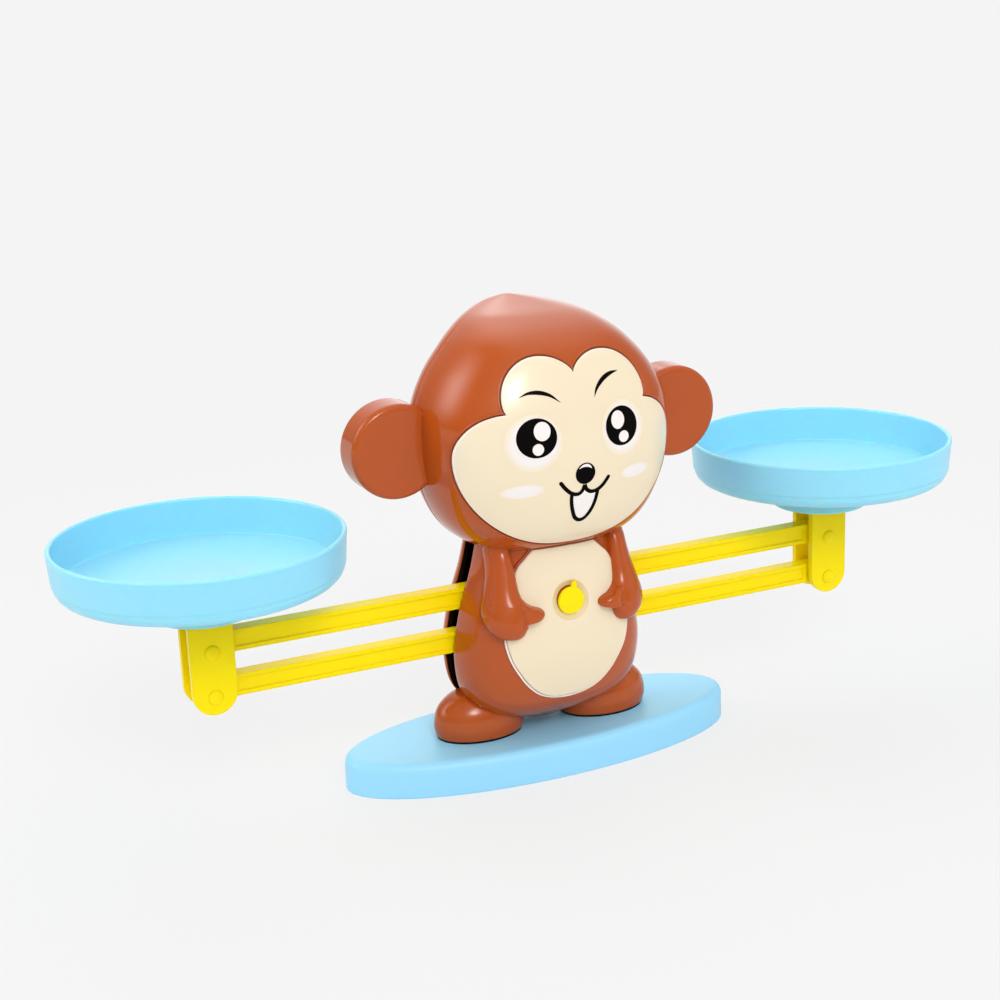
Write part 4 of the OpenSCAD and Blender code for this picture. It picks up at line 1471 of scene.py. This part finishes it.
@dataclass
class Studio:
    """Pale floor, soft lights and the photograph's camera."""

    lens_mm: float = 66.0
    sensor_mm: float = 36.0
    clip_m: Flat = (0.01, 200.0)
    azimuth: float = -24.72
    elevation: float = 15.82
    roll: float = -2.18
    distance: float = 752.41
    target: Point = (-14.9, 0.0, 112.9)
    floor_colour: str = "#F4F4F4"
    floor_matt: str = "#EAEAEA"
    floor_reach: float = 60.0
    floor_shadow: float = 0.2
    shadow_reach: Flat = (0.25, 0.6)
    surround: float = 0.12
    lights: tuple[SoftLight, ...] = (
        SoftLight(-114.0, 35.0, 0.055, 4.3),
        SoftLight(158.0, 27.0, 0.004, 1.1),
        SoftLight(165.0, 50.0, 0.06, 1.4),
        SoftLight(100.0, 72.0, 0.1, 1.0),
        SoftLight(-8.0, 42.0, 0.15, 1.0),
        SoftLight(-10.0, 37.0, 0.012, 14.0),
        SoftLight(62.0, 18.0, 0.12, 0.7),
        SoftLight(-45.0, 6.0, 0.25, 0.3),
        SoftLight(154.0, 4.0, 0.2, 1.3),
    )

    def build(self) -> None:
        """Builds the floor, the lights and the camera."""
        self.build_floor()
        self.build_world()
        self.build_camera()

    def build_floor(self) -> None:
        """Builds a wide floor that stays pale to the camera and keeps a faint shadow by the toy."""
        reach = self.floor_reach
        mesh = bpy.data.meshes.new("studio_floor")
        corners = [(-reach, -reach, 0.0), (reach, -reach, 0.0), (reach, reach, 0.0), (-reach, reach, 0.0)]
        mesh.from_pydata(corners, [], [(0, 1, 2, 3)])
        floor = add_object("studio_floor", mesh)
        paper, tree = new_material("white_backdrop_paper")
        place = add_node(tree, "ShaderNodeNewGeometry").outputs["Position"]
        far = add_node(tree, "ShaderNodeVectorMath", {"operation": "LENGTH"}, {0: place})
        near, clear = self.shadow_reach
        plain = {"From Min": near, "From Max": clear, "To Min": 1 - self.floor_shadow, "To Max": 1.0}
        share = add_node(tree, "ShaderNodeMapRange", plain, {"Value": far.outputs["Value"]})
        rays = self.clear_ray(tree, ("Is Camera Ray", "Is Glossy Ray", "Is Transmission Ray"))
        factors = {0: rays, 1: share.outputs["Result"]}
        seen = add_node(tree, "ShaderNodeMath", {"operation": "MULTIPLY"}, factors)
        matt = add_node(tree, "ShaderNodeBsdfDiffuse", {"Color": linear(self.floor_matt)})
        pale = {"Color": linear(self.floor_colour), "Strength": 1.0}
        glow = add_node(tree, "ShaderNodeEmission", pale)
        layers = {"Fac": seen.outputs[0], 1: matt.outputs[0], 2: glow.outputs[0]}
        mixed = add_node(tree, "ShaderNodeMixShader", None, layers)
        add_node(tree, "ShaderNodeOutputMaterial", None, {"Surface": mixed.outputs[0]})
        mesh.materials.append(paper)

    @staticmethod
    def clear_ray(tree: bpy.types.NodeTree, kinds: tuple[str, ...]) -> bpy.types.NodeSocket:
        """Picks the rays that see the pale ground.

        Args:
            tree: The node tree.
            kinds: Names of the kinds of ray.

        Returns:
            A socket that is 1 for these rays and 0 for others.
        """
        ray = add_node(tree, "ShaderNodeLightPath")
        any_kind = ray.outputs[kinds[0]]
        for kind in kinds[1:]:
            pair = {0: any_kind, 1: ray.outputs[kind]}
            any_kind = add_node(tree, "ShaderNodeMath", {"operation": "MAXIMUM"}, pair).outputs[0]
        return any_kind

    def build_world(self) -> None:
        """Builds a dim surround with soft lights in it, and an even pale ground to the camera.

        Each light adds strength * exp((cosine - 1) / spread), where the cosine is that of the angle
        between the ray and the way to the light.
        """
        world = bpy.data.worlds.new("studio_surround")
        bpy.context.scene.world = world
        world.use_nodes = True
        tree = world.node_tree
        tree.nodes.clear()
        way = add_node(tree, "ShaderNodeTexCoord").outputs["Generated"]
        total = add_node(tree, "ShaderNodeValue").outputs[0]
        total.default_value = self.surround
        sum_of = {"operation": "MULTIPLY_ADD"}
        for light in self.lights:
            toward = {"operation": "DOT_PRODUCT", 1: direction(light.azimuth, light.elevation)}
            near = add_node(tree, "ShaderNodeVectorMath", toward, {0: way}).outputs["Value"]
            fade = sum_of | {1: 1 / light.spread, 2: -1 / light.spread}
            fall = add_node(tree, "ShaderNodeMath", fade, {0: near}).outputs[0]
            glow = add_node(tree, "ShaderNodeMath", {"operation": "EXPONENT"}, {0: fall}).outputs[0]
            parts = {0: glow, 2: total}
            total = add_node(tree, "ShaderNodeMath", sum_of | {1: light.strength}, parts).outputs[0]
        lit = add_node(tree, "ShaderNodeBackground", {"Color": (1, 1, 1, 1)}, {"Strength": total})
        pale = {"Color": linear(self.floor_colour), "Strength": 1.0}
        ground = add_node(tree, "ShaderNodeBackground", pale)
        clear = self.clear_ray(tree, ("Is Camera Ray", "Is Transmission Ray"))
        layers = {"Fac": clear, 1: lit.outputs[0], 2: ground.outputs[0]}
        mixed = add_node(tree, "ShaderNodeMixShader", None, layers)
        add_node(tree, "ShaderNodeOutputWorld", None, {"Surface": mixed.outputs[0]})

    def build_camera(self) -> None:
        """Builds the camera where the photograph was taken from."""
        a, r = math.radians(self.azimuth), math.radians(self.roll)
        back = direction(self.azimuth, self.elevation)
        level = Vector((math.cos(a), math.sin(a), 0.0))
        upright = level.cross(-back)
        across = level * math.cos(r) + upright * math.sin(r)
        above = upright * math.cos(r) - level * math.sin(r)
        place = (Vector(self.target) + back * self.distance) * MM
        lens = bpy.data.cameras.new("photograph_camera")
        lens.lens = self.lens_mm
        lens.sensor_width = self.sensor_mm
        lens.clip_start, lens.clip_end = self.clip_m
        camera = add_object("photograph_camera", lens)
        turn = Matrix((across, above, back)).transposed().to_4x4()
        camera.matrix_world = Matrix.Translation(place) @ turn
        bpy.context.scene.camera = camera


def main() -> None:
    """Builds the toy around its frame and sets the studio."""
    logging.basicConfig(level=logging.INFO, format="%(message)s")
    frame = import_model()
    bpy.context.scene.view_settings.view_transform = "Standard"
    palette = Palette()
    Hardware().dress(frame["nodes"], palette)
    Body().build(palette)
    Head().build(palette)
    Pointer().build(palette)
    Studio().build()


if __name__ == "__main__":
    main()
